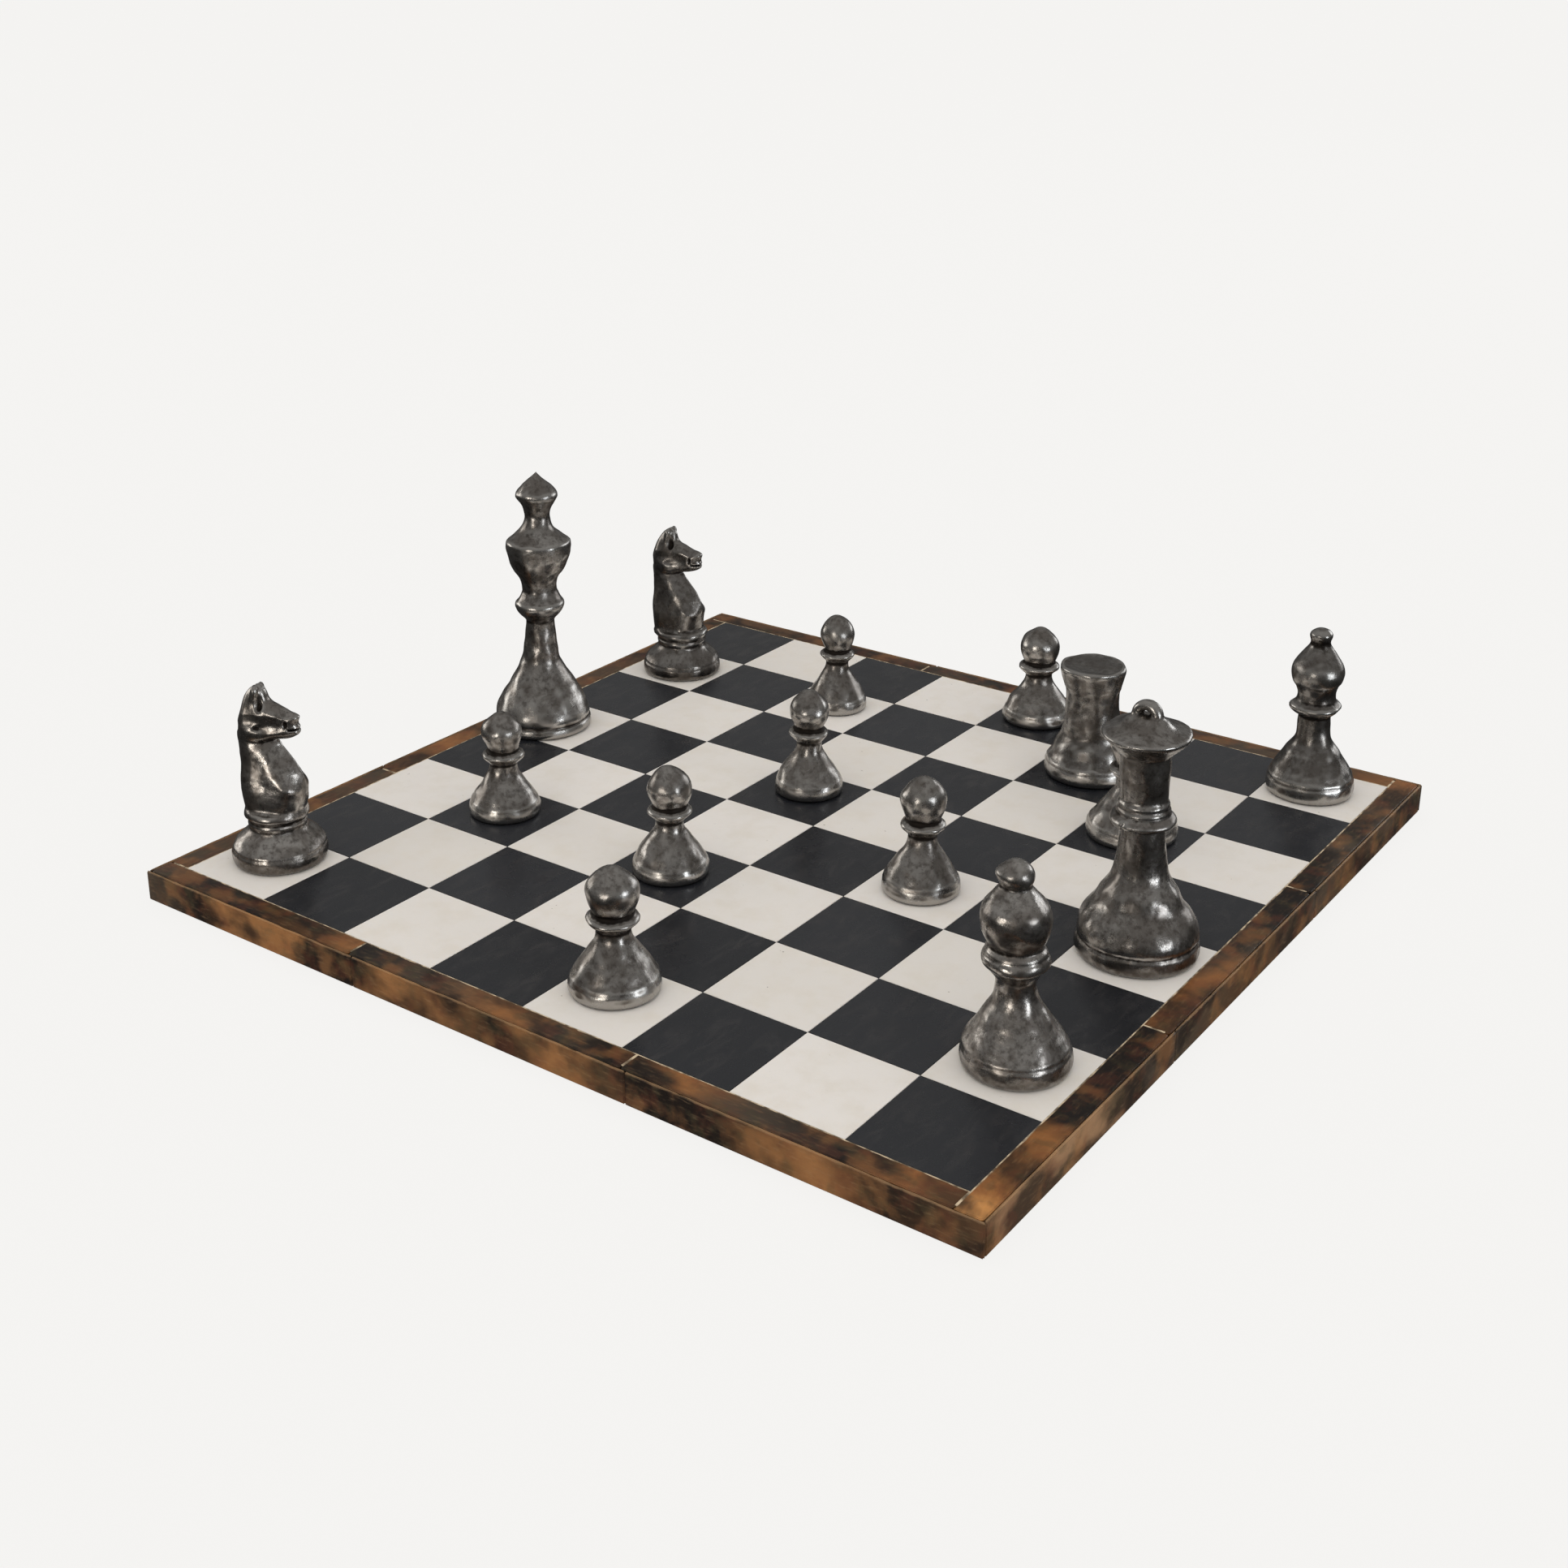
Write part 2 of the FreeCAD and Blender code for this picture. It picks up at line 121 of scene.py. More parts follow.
OUTLINES = {
    "pawn": foot(0.12) + [
        (LINE, [(0.952, 0.12), (0.968, 0.128)]),
        (CURVE, [(0.968, 0.128), (0.91, 0.156), (0.84, 0.198), (0.763, 0.24), (0.675, 0.281),
                 (0.59, 0.323), (0.505, 0.365), (0.43, 0.406), (0.386, 0.448), (0.368, 0.50)]),
        (CURVE, [(0.368, 0.50), (0.45, 0.531), (0.55, 0.567)]),
        (CURVE, [(0.55, 0.567), (0.58, 0.581), (0.55, 0.60)]),
        (CURVE, [(0.55, 0.60), (0.48, 0.615), (0.42, 0.637)]),
        (CURVE, [(0.42, 0.637), (0.48, 0.685), (0.54, 0.738), (0.569, 0.80), (0.54, 0.855),
                 (0.45, 0.908), (0.30, 0.957), (0.15, 0.989), (0, 1.0)]),
    ],
    "king": foot(0.042) + [
        (LINE, [(0.952, 0.042), (0.975, 0.052)]),
        (CURVE, [(0.975, 0.052), (0.967, 0.07), (0.938, 0.087), (0.891, 0.108), (0.832, 0.129),
                 (0.759, 0.15), (0.689, 0.171)]),
        (CURVE, [(0.689, 0.171), (0.62, 0.192), (0.492, 0.233), (0.434, 0.254), (0.39, 0.275),
                 (0.35, 0.317), (0.31, 0.379), (0.288, 0.423)]),
        (LINE, [(0.288, 0.423), (0.33, 0.437)]),
        (CURVE, [(0.33, 0.437), (0.45, 0.463), (0.50, 0.483)]),
        (LINE, [(0.50, 0.483), (0.495, 0.495)]),
        (CURVE, [(0.495, 0.495), (0.42, 0.513), (0.345, 0.543)]),
        (LINE, [(0.345, 0.543), (0.345, 0.565)]),
        (CURVE, [(0.345, 0.565), (0.376, 0.587), (0.439, 0.608), (0.517, 0.629), (0.576, 0.65),
                 (0.633, 0.682), (0.658, 0.712)]),
        (LINE, [(0.658, 0.712), (0.65, 0.735)]),
        (CURVE, [(0.65, 0.735), (0.535, 0.752), (0.377, 0.775), (0.301, 0.796)]),
        (CURVE, [(0.301, 0.796), (0.252, 0.82), (0.247, 0.837), (0.282, 0.858), (0.338, 0.879),
                 (0.432, 0.905)]),
        (CURVE, [(0.432, 0.905), (0.42, 0.921), (0.328, 0.942), (0.208, 0.962), (0.087, 0.983), (0, 1.0)]),
    ],
    "queen": foot(0.075) + [
        (LINE, [(0.952, 0.075), (0.98, 0.087)]),
        (CURVE, [(0.98, 0.087), (0.972, 0.109), (0.948, 0.13), (0.905, 0.151), (0.845, 0.172),
                 (0.772, 0.193), (0.709, 0.213), (0.668, 0.232)]),
        (CURVE, [(0.668, 0.232), (0.622, 0.255), (0.564, 0.276), (0.507, 0.297), (0.46, 0.318),
                 (0.427, 0.338), (0.395, 0.37), (0.375, 0.41), (0.365, 0.46), (0.362, 0.522)]),
        (LINE, [(0.362, 0.522), (0.525, 0.534)]),
        (CURVE, [(0.525, 0.534), (0.533, 0.542), (0.50, 0.556), (0.42, 0.572)]),
        (CURVE, [(0.42, 0.572), (0.435, 0.583), (0.395, 0.594)]),
        (CURVE, [(0.395, 0.594), (0.41, 0.608), (0.37, 0.622)]),
        (CURVE, [(0.37, 0.622), (0.369, 0.651), (0.386, 0.693), (0.401, 0.734), (0.412, 0.80)]),
        (LINE, [(0.412, 0.80), (0.69, 0.866)]),
        (CURVE, [(0.69, 0.866), (0.707, 0.876), (0.68, 0.885)]),
        (CURVE, [(0.68, 0.885), (0.42, 0.905), (0.24, 0.925), (0, 0.94)]),
    ],
    "bishop_with_thick_collar": BISHOP_BASE + [
        (CURVE, [(0.372, 0.43), (0.44, 0.462), (0.52, 0.486), (0.60, 0.508)]),
        (LINE, [(0.60, 0.508), (0.607, 0.527), (0.585, 0.548), (0.545, 0.556)]),
        (CURVE, [(0.545, 0.556), (0.552, 0.57), (0.50, 0.588)]),
        (LINE, [(0.50, 0.588), (0.47, 0.597)]),
    ] + BISHOP_FULL_HEAD,
    "bishop_with_thin_collar": BISHOP_BASE + [
        (LINE, [(0.372, 0.43), (0.36, 0.475)]),
        (LINE, [(0.36, 0.475), (0.50, 0.50), (0.575, 0.522), (0.57, 0.535)]),
        (LINE, [(0.57, 0.535), (0.44, 0.565), (0.415, 0.59), (0.42, 0.615)]),
    ] + BISHOP_SLIM_HEAD,
    "rook": foot(0.13) + [
        (LINE, [(0.952, 0.13), (0.968, 0.14)]),
        (CURVE, [(0.968, 0.14), (0.915, 0.165), (0.86, 0.20), (0.80, 0.257), (0.75, 0.30)]),
        (CURVE, [(0.75, 0.30), (0.695, 0.343), (0.645, 0.39), (0.605, 0.48), (0.58, 0.56), (0.565, 0.66),
                 (0.57, 0.74)]),
        (LINE, [(0.57, 0.74), (0.582, 0.78), (0.605, 0.80), (0.615, 0.83)]),
        (CURVE, [(0.615, 0.83), (0.65, 0.885), (0.673, 0.926), (0.70, 0.965)]),
        (LINE, [(0.70, 0.965), (0.69, 0.985), (0.66, 1.0), (0.60, 0.992), (0, 0.985)]),
    ],
    "knight": foot(0.085) + [
        (LINE, [(0.952, 0.085), (0.968, 0.093)]),
        (CURVE, [(0.968, 0.093), (0.94, 0.103), (0.902, 0.119), (0.845, 0.135), (0.768, 0.151),
                 (0.694, 0.167), (0.637, 0.183), (0.60, 0.205)]),
        (CURVE, [(0.60, 0.205), (0.635, 0.225), (0.60, 0.245)]),
        (CURVE, [(0.60, 0.245), (0.67, 0.272), (0.64, 0.30)]),
        (LINE, [(0.64, 0.30), (0, 0.31)]),
    ],
}

# The knight's side view, in fractions of its base radius forward and of its
# height up: the head with its ears, then the neck with its chest.
HORSE_HEAD = [
    (-0.640, 0.670), (-0.665, 0.760), (-0.690, 0.805), (-0.640, 0.855), (-0.58, 0.898), (-0.475, 0.943),
    (-0.335, 0.982), (-0.20, 1.0), (-0.10, 0.994), (-0.03, 0.962), (0.045, 0.916), (0.20, 0.897),
    (0.34, 0.881), (0.48, 0.866), (0.60, 0.858), (0.685, 0.848), (0.715, 0.836), (0.69, 0.818),
    (0.675, 0.800), (0.705, 0.785), (0.715, 0.767), (0.69, 0.749), (0.62, 0.735), (0.52, 0.724),
    (0.32, 0.712), (0.15, 0.703), (-0.07, 0.680), (-0.37, 0.654),
]
HORSE_NECK = [
    (-0.655, 0.22), (-0.66, 0.30), (-0.685, 0.388), (-0.700, 0.459), (-0.700, 0.554), (-0.708, 0.625),
    (-0.70, 0.74), (-0.30, 0.76), (0.19, 0.700), (0.295, 0.664), (0.43, 0.626), (0.55, 0.592),
    (0.635, 0.562), (0.715, 0.527), (0.76, 0.495), (0.765, 0.458), (0.75, 0.430), (0.705, 0.396),
    (0.68, 0.34), (0.655, 0.30), (0.65, 0.22),
]

# What is added to or cut from each side of the head, in order: its place forwards
# (a share of the radius), outwards (in millimetres) and upwards (a share of the
# height), then its radii and its blend, in millimetres
HEAD_FEATURES = (
    ("add", -0.27, 2.6, 0.752, (6.4, 4.1, 5.0), 0.9),  # jowl
    ("cut", -0.08, 6.3, 0.776, (2.4, 1.1, 1.0), 0.7),  # dent in the cheek
    ("add", -0.20, 2.6, 0.962, (1.3, 1.7, 2.6), 0.9),  # back rim of the ear, from its tip
    ("add", -0.245, 2.6, 0.925, (1.3, 1.7, 2.6), 0.9),
    ("add", -0.295, 2.6, 0.885, (1.3, 1.7, 2.6), 0.9),
    ("cut", -0.09, 4.3, 0.918, (1.6, 1.7, 3.6), 0.9),  # cup of the ear
    ("cut", 0.24, 6.3, 0.792, (4.4, 1.9, 2.6), 1.6),  # hollow above the jaw
    ("cut", 0.46, 3.9, 0.800, (0.8, 1.0, 1.5), 0.5),  # nostril
)

# The flat down each side of the neck's front: at each height, how far forward its
# front and its ridge are, and the neck's half width
NECK_HEIGHTS = (0.29, 0.36, 0.427, 0.469, 0.52, 0.577, 0.62, 0.66, 0.70, 0.78)
NECK_FRONTS = (0.66, 0.70, 0.745, 0.765, 0.725, 0.60, 0.45, 0.30, 0.20, 0.1)
NECK_RIDGES = (0.60, 0.66, 0.66, 0.458, 0.30, 0.136, 0.02, -0.08, -0.15, -0.2)
NECK_HALF_WIDTHS = (9.2, 9.2, 9.0, 8.6, 8.0, 7.2, 6.6, 6.2, 5.8, 5.4)

# How wide the head is, in millimetres each side, from its back to its muzzle
HEAD_PLACES = (-0.72, -0.45, -0.10, 0.20, 0.50, 0.72)
HEAD_HALF_WIDTHS = (4.4, 5.8, 5.6, 4.8, 3.9, 3.3)

PROFILE_STEP = 0.25 * MM
PROFILE_ROUNDING = 0.40 * MM
RING_STEP = 0.62 * MM
SEGMENTS = 104
FELT_SEGMENTS = 72
KNIGHT_STEP = 0.45 * MM
SCULPT_STEP = 0.5 * MM

# The knights' mouths, the gaps between their ears and the crack in the queen
SLIT_HALF_WIDTH = 0.35 * MM
SLIT_BLEND = 0.5 * MM

# Room left between a casting's surface and the sides of its CAD box
RIM_ROOM = 0.1 * MM

# The lowest part of a casting, where its surface settles to a flat foot
SETTLING_HEIGHT = 3 * MM

# How far a surface is smoothed, and how deep a hollow is, when hollows are marked
RECESS_ROUNDS = 12
RECESS_DEPTH = 0.28 * MM


def smooth_points(points, per_span=14):
    """A Catmull-Rom curve through the points."""
    p = np.array(points, float)
    padded = np.vstack([2 * p[0] - p[1], p, 2 * p[-1] - p[-2]])
    t = np.linspace(0, 1, per_span, endpoint=False)[:, None]
    spans = []
    for a, b, c, d in zip(padded, padded[1:], padded[2:], padded[3:]):
        spans.append(0.5 * (2 * b + (c - a) * t + (2 * a - 5 * b + 4 * c - d) * t ** 2
                            + (3 * b - a - 3 * c + d) * t ** 3))
    return np.vstack(spans + [p[-1:]])


def resample(points, step):
    """Points a step apart along a polyline."""
    lengths = np.linalg.norm(np.diff(points, axis=0), axis=1)
    keep = np.r_[True, lengths > 1e-9]
    points = points[keep]
    along = np.r_[0, np.cumsum(np.linalg.norm(np.diff(points, axis=0), axis=1))]
    places = np.linspace(0, along[-1], max(3, round(along[-1] / step)))
    return np.c_[[np.interp(places, along, points[:, axis]) for axis in (0, 1)]].T


def cast_profile(kind, radius, height):
    """The outline of a casting as (radius, height) points, its corners eased."""
    stretches = []
    for form, points in OUTLINES[kind]:
        sized = np.array(points, float) * (radius, height)
        stretches.append(sized if form == LINE else smooth_points(sized))
    points = resample(np.vstack(stretches), PROFILE_STEP)
    reach = int(3 * PROFILE_ROUNDING / PROFILE_STEP)
    kernel = np.exp(-0.5 * (np.arange(-reach, reach + 1) * PROFILE_STEP / PROFILE_ROUNDING) ** 2)
    kernel /= kernel.sum()
    before = 2 * points[0] - points[reach:0:-1]
    after = 2 * points[-1] - points[-2:-reach - 2:-1]
    padded = np.vstack([before, points, after])
    eased = np.c_[[np.convolve(padded[:, axis], kernel, "valid") for axis in (0, 1)]].T
    eased[-1, 0] = 0
    eased[:, 0] = np.maximum(eased[:, 0], 0)
    return eased


# Wavelength, depth and number of the waves that a hand-made surface strays by
LUMPS = ((17 * MM, 0.24 * MM, 5), (8 * MM, 0.12 * MM, 7), (3.2 * MM, 0.022 * MM, 9))


def lumps(points, seed):
    """Small hand-cast unevenness at each point, in metres."""
    rng = np.random.default_rng(seed)
    total = np.zeros(len(points))
    for wavelength, depth, waves in LUMPS:
        for _ in range(waves):
            direction = rng.normal(size=3)
            direction *= rng.uniform(0.8, 1.25) * 2 * math.pi / wavelength / np.linalg.norm(direction)
            total += depth / math.sqrt(waves) * np.sin(points @ direction + rng.uniform(0, 2 * math.pi))
    return total


def mesh_object(name, points, faces, material):
    """A smooth-shaded mesh object from numpy arrays."""
    mesh = bpy.data.meshes.new(name)
    mesh.from_pydata(points.tolist(), [], faces)
    mesh.validate()
    mesh.shade_smooth()
    mesh.materials.append(material)
    obj = bpy.data.objects.new(name, mesh)
    bpy.context.scene.collection.objects.link(obj)
    return obj


def vertex_normals(obj):
    normals = np.zeros(len(obj.data.vertices) * 3)
    obj.data.vertex_normals.foreach_get("vector", normals)
    return normals.reshape(-1, 3)


def vertex_places(obj):
    places = np.zeros(len(obj.data.vertices) * 3)
    obj.data.vertices.foreach_get("co", places)
    return places.reshape(-1, 3)


def move_vertices(obj, places):
    obj.data.vertices.foreach_set("co", places.ravel())
    obj.data.update()


def neighbour_average(places, edges, rounds):
    """Each point moved towards the mean of its neighbours, several times."""
    ends = np.r_[edges[:, 0], edges[:, 1]]
    others = np.r_[edges[:, 1], edges[:, 0]]
    count = np.maximum(np.bincount(ends, minlength=len(places)), 1)
    for _ in range(rounds):
        sums = [np.bincount(ends, places[others, axis], len(places)) for axis in range(3)]
        places = 0.5 * places + 0.5 * np.stack(sums, axis=1) / count[:, None]
    return places


def edges_of(obj):
    edges = np.zeros(len(obj.data.edges) * 2, int)
    obj.data.edges.foreach_get("vertices", edges)
    return edges.reshape(-1, 2)


def mark_recesses(obj):
    """Stores how hollow (1), flat (0.5) or proud (0) each point is."""
    places = vertex_places(obj)
    shift = neighbour_average(places, edges_of(obj), RECESS_ROUNDS) - places
    hollow = np.einsum("ij,ij->i", shift, vertex_normals(obj)) / RECESS_DEPTH
    attribute = obj.data.attributes.new("hollow", "FLOAT", "POINT")
    attribute.data.foreach_set("value", np.clip(0.5 + 0.5 * hollow, 0, 1))


def lathe(profile, segments):
    """Points and faces of a turned solid, closed at both ends."""
    rings = resample(profile, RING_STEP)[:-1]
    angles = np.linspace(0, 2 * math.pi, segments, endpoint=False)
    circles = [np.c_[r * np.cos(angles), r * np.sin(angles), np.full(segments, z)] for r, z in rings]
    points = np.vstack(circles)
    faces = []
    for ring in range(len(rings) - 1):
        low, high = ring * segments, (ring + 1) * segments
        for k in range(segments):
            n = (k + 1) % segments
            faces.append((low + k, low + n, high + n, high + k))
    last = (len(rings) - 1) * segments
    points = np.vstack([points, (0, 0, rings[0][1]), (0, 0, profile[-1][1])])
    under, crown = len(points) - 2, len(points) - 1
    for k in range(segments):
        n = (k + 1) % segments
        faces.append((n, k, under))
        faces.append((last + k, last + n, crown))
    return points, faces


# Signed distances, for shapes that aren't turned. Negative is inside.

def polygon_distance(x, z, corners):
    """Signed distance in a plane to a closed outline."""
    nearest = np.full(x.shape, 1e9)
    inside = np.zeros(x.shape, bool)
    for (ax, az), (bx, bz) in zip(corners, np.roll(corners, -1, axis=0)):
        ex, ez = bx - ax, bz - az
        t = np.clip(((x - ax) * ex + (z - az) * ez) / (ex * ex + ez * ez + 1e-18), 0, 1)
        nearest = np.minimum(nearest, np.hypot(x - ax - t * ex, z - az - t * ez))
        crosses = (az > z) != (bz > z)
        with np.errstate(divide="ignore", invalid="ignore"):
            inside ^= crosses & (x < ex * (z - az) / np.where(ez == 0, 1e-18, ez) + ax)
    return np.where(inside, -nearest, nearest)


def blend_union(a, b, k):
    h = np.maximum(k - np.abs(a - b), 0) / k
    return np.minimum(a, b) - h * h * k / 4


def blend_cut(a, b, k):
    """a without b."""
    return -blend_union(-a, b, k)


def ellipsoid(x, y, z, centre, radii):
    q = np.sqrt(((x - centre[0]) / radii[0]) ** 2 + ((y - centre[1]) / radii[1]) ** 2
                + ((z - centre[2]) / radii[2]) ** 2)
    return (q - 1) * min(radii)


class Grid:
    """A block of sample points round a casting that stands on the origin."""

    def __init__(self, radius, height, step):
        margin = 3 * step
        self.step = step
        self.low = np.array([-radius - margin, -radius - margin, -margin])
        counts = np.ceil((np.array([radius, radius, height]) + margin - self.low) / step).astype(int) + 1
        axes = [self.low[axis] + step * np.arange(counts[axis]) for axis in range(3)]
        self.x, self.y, self.z = np.meshgrid(*axes, indexing="ij")
        self.axes = axes

    def turned(self, profile):
        """Distance to the solid of revolution of an outline."""
        radii = np.arange(0, self.axes[0][-1] * 1.5, self.step)
        heights = self.axes[2]
        rr, zz = np.meshgrid(radii, heights, indexing="ij")
        outline = resample(profile, 0.8 * self.step)
        corners = np.vstack([outline, (-radii[-1], outline[-1][1]), (-radii[-1], outline[0][1])])
        plane = polygon_distance(rr, zz, corners)
        r = np.hypot(self.x[:, :, 0], self.y[:, :, 0]) / self.step
        index = np.clip(r.astype(int), 0, len(radii) - 2)
        share = (r - index)[:, :, None]
        return plane[index] * (1 - share) + plane[index + 1] * share

    def surface(self, distance):
        """Points and quads of the surface where the distance is 0."""
        band = 3 * self.step
        field = openvdb.FloatGrid(band)
        field.copyFromArray(np.clip(distance, -band, band).astype(np.float32))
        points, quads = field.convertToQuads(isovalue=0.0)
        points = points.astype(float) * self.step + self.low
        a, b, c = (points[quads[:, k]] for k in (0, 1, 2))
        if np.einsum("ij,ij->i", np.cross(a, b), c).sum() < 0:
            quads = quads[:, ::-1]
        return points, quads.tolist()


def horse_distance(grid, radius, height, facing, setback):
    """The knight's neck and head."""
    x = grid.x * math.cos(facing) + grid.y * math.sin(facing) + setback * radius
    side = np.abs(-grid.x * math.sin(facing) + grid.y * math.cos(facing))
    z = grid.z
    up = z / height
    forward = x / radius

    def slab(corners, half_width, edge):
        flat = polygon_distance(x, z, smooth_closed(np.array(corners) * (radius, height)))
        return np.hypot(np.maximum(flat + edge, 0), side * edge / half_width) - edge

    neck_width = np.interp(up, NECK_HEIGHTS, NECK_HALF_WIDTHS) * MM
    front = (np.interp(up, NECK_HEIGHTS, NECK_FRONTS) + 0.02) * radius
    ridge = np.interp(up, NECK_HEIGHTS, NECK_RIDGES) * radius
    span = np.hypot(neck_width, front - ridge)
    flat_front = ((x - front) * neck_width + side * (front - ridge)) / span
    neck = blend_cut(slab(HORSE_NECK, neck_width, 8.0 * MM), -flat_front, 2.6 * MM)

    head_width = np.interp(forward, HEAD_PLACES, HEAD_HALF_WIDTHS) * MM
    head_width = head_width * (1 - 0.62 * np.clip((up - 0.85) / 0.15, 0, 1))
    head = slab(HORSE_HEAD, head_width, 3.6 * MM)
    for action, ahead, out_mm, share_up, radii_mm, blend_mm in HEAD_FEATURES:
        centre = (ahead * radius, out_mm * MM, share_up * height)
        feature = ellipsoid(x, side, z, centre, [r * MM for r in radii_mm])
        blend = blend_union if action == "add" else blend_cut
        head = blend(head, feature, blend_mm * MM)
    mouth = np.maximum(np.abs(z - 0.772 * height) - SLIT_HALF_WIDTH, 0.50 * radius - x)
    head = blend_cut(head, mouth, SLIT_BLEND)
    between_ears = np.maximum(side - SLIT_HALF_WIDTH, 0.978 * height - z)
    head = blend_cut(head, between_ears, SLIT_BLEND)
    return blend_union(neck, head, 0.8 * MM)


def smooth_closed(corners):
    """A closed smooth outline through the corners."""
    around = np.vstack([corners[-2:], corners, corners[:3]])
    curve = smooth_points(around, per_span=6)
    return curve[12:12 + 6 * len(corners)]


def knight_shape(name, radius, height):
    grid = Grid(radius, height, KNIGHT_STEP)
    base = grid.turned(cast_profile("knight", radius, height))
    horse = horse_distance(grid, radius, height, KNIGHT_FACING[name], KNIGHT_SETBACK[name])
    above_base = 0.27 * height - grid.z
    return grid.surface(blend_union(base, np.maximum(horse, above_base), 2.0 * MM))


def queen_shape(name, radius, height):
    """The turned queen with the loop on her hat, which faces the players."""
    grid = Grid(radius, height, SCULPT_STEP)
    body = grid.turned(cast_profile("queen", radius, height))
    centre_z = height - 0.245 * radius
    around = np.hypot(grid.x / 1.02, grid.z - centre_z)
    tube = np.hypot(around - 3.75 * MM, grid.y * 0.82) - 1.85 * MM
    skirt = ellipsoid(grid.x, grid.y, grid.z, (0, 0, 0.918 * height), (7.0 * MM, 5.2 * MM, 2.6 * MM))
    solid = blend_union(blend_union(body, skirt, 3.0 * MM), tube, 1.3 * MM)
    crack = np.abs(grid.x * 0.9 + grid.y * -0.44 - 3.0 * MM) - SLIT_HALF_WIDTH
    crack = np.maximum(crack, np.abs(grid.z - 0.535 * height) - 2.0 * MM)
    crack = np.maximum(crack, 9.8 * MM - np.hypot(grid.x, grid.y))
    crack = np.maximum(crack, grid.y)
    return grid.surface(blend_cut(solid, crack, SLIT_BLEND))


def front_bishop_shape(name, radius, height):
    """The turned bishop whose button flowed to one side in the mould."""
    grid = Grid(radius, height, SCULPT_STEP)
    body = grid.turned(cast_profile("bishop_with_thick_collar", radius, height))
    across = grid.x * LEAN_DIRECTION[0] + grid.y * LEAN_DIRECTION[1]
    depth = -grid.x * LEAN_DIRECTION[1] + grid.y * LEAN_DIRECTION[0]
    spill = ellipsoid(across, depth, grid.z, (-2.0 * MM, 0, 0.938 * height), (4.6 * MM, 4.4 * MM, 2.2 * MM))
    return grid.surface(blend_union(body, spill, 1.5 * MM))


SPECIAL_SHAPES = {
    "knight_left": knight_shape,
    "knight_back": knight_shape,
    "queen": queen_shape,
    "bishop_front": front_bishop_shape,
}


def casting(name, number, material):
    """One chessman, cast a little unevenly, standing where its CAD node stands."""
    low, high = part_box(name)
    radius = (high.x - low.x) / 2 - RIM_ROOM
    height = high.z - low.z
    if name in SPECIAL_SHAPES:
        points, faces = SPECIAL_SHAPES[name](name, radius, height)
    else:
        points, faces = lathe(cast_profile(KIND_OF[name], radius, height), SEGMENTS)
    obj = mesh_object(name + "_cast", points, faces, material)
    places = vertex_places(obj)
    settle = np.clip(places[:, 2:] / SETTLING_HEIGHT, 0, 1)
    places += vertex_normals(obj) * lumps(places, number)[:, None] * settle
    lean = LEANS.get(name, 0) * places[:, 2] / height
    places[:, 0] += lean * LEAN_DIRECTION[0] + (low.x + high.x) / 2
    places[:, 1] += lean * LEAN_DIRECTION[1] + (low.y + high.y) / 2
    places[:, 2] = np.clip(places[:, 2] + low.z, low.z, high.z)
    move_vertices(obj, places)
    mark_recesses(obj)
    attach(obj, name)
    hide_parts(name)


def felt_disc(name, material):
    """The felt under a chessman, with a soft edge."""
    low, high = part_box(name)
    radius = (high.x - low.x) / 2
    thickness = high.z - low.z
    fluff = 0.15 * thickness
    profile = np.array([(radius - fluff, 0), (radius, 0.4 * thickness), (radius, 0.7 * thickness),
                        (radius - fluff, thickness), (0, thickness)])
    points, faces = lathe(profile, FELT_SEGMENTS)
    points += ((low.x + high.x) / 2, (low.y + high.y) / 2, low.z)
    obj = mesh_object(name + "_disc", points, faces, material)
    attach(obj, name.replace("_felt", ""))
    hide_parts(name)


# ------------------------------------------------------------------- board

SQUARES = 8
TILE_GAP = 0.1 * MM
TILE_BEVEL = 0.18 * MM
WORN_CORNER = 1.5 * MM
TOP_EASING = 0.42 * MM
SIDE_EASING = 0.45 * MM
BAIZE_EASING = 0.35 * MM
STRIP_STEP = 2.5 * MM
LONG_EDGE = 50 * MM
LONG_EDGE_CUTS = 60

# The depth below its top edge over which a length of horn is worn
WORN_DEPTH = 0.5 * MM

# The glue bed's top and underside, below the board's top, and its outer edge,
# inside the border's outer edge
GLUE_TOP_DEPTH = 0.09 * MM
GLUE_BOTTOM_DEPTH = 1.5 * MM
GLUE_INSET = 1.8 * MM

# How far in from its edge the baize is cut unevenly
BAIZE_MARGIN = 1 * MM


def join_bmesh(name, bm, material):
    mesh = bpy.data.meshes.new(name)
    bm.to_mesh(mesh)
    bm.free()
    mesh.materials.append(material)
    mesh.shade_smooth()
    obj = bpy.data.objects.new(name, mesh)
    bpy.context.scene.collection.objects.link(obj)
    obj.modifiers.new("flat_faces", "WEIGHTED_NORMAL")
    return obj


def add_block(bm, low, high):
    """A box in a bmesh; returns its vertices."""
    size = Vector(high) - Vector(low)
    middle = (Vector(high) + Vector(low)) / 2
    made = bmesh.ops.create_cube(bm, size=1, matrix=Matrix.Translation(middle) @ Matrix.Diagonal((*size, 1)))
    return made["verts"]


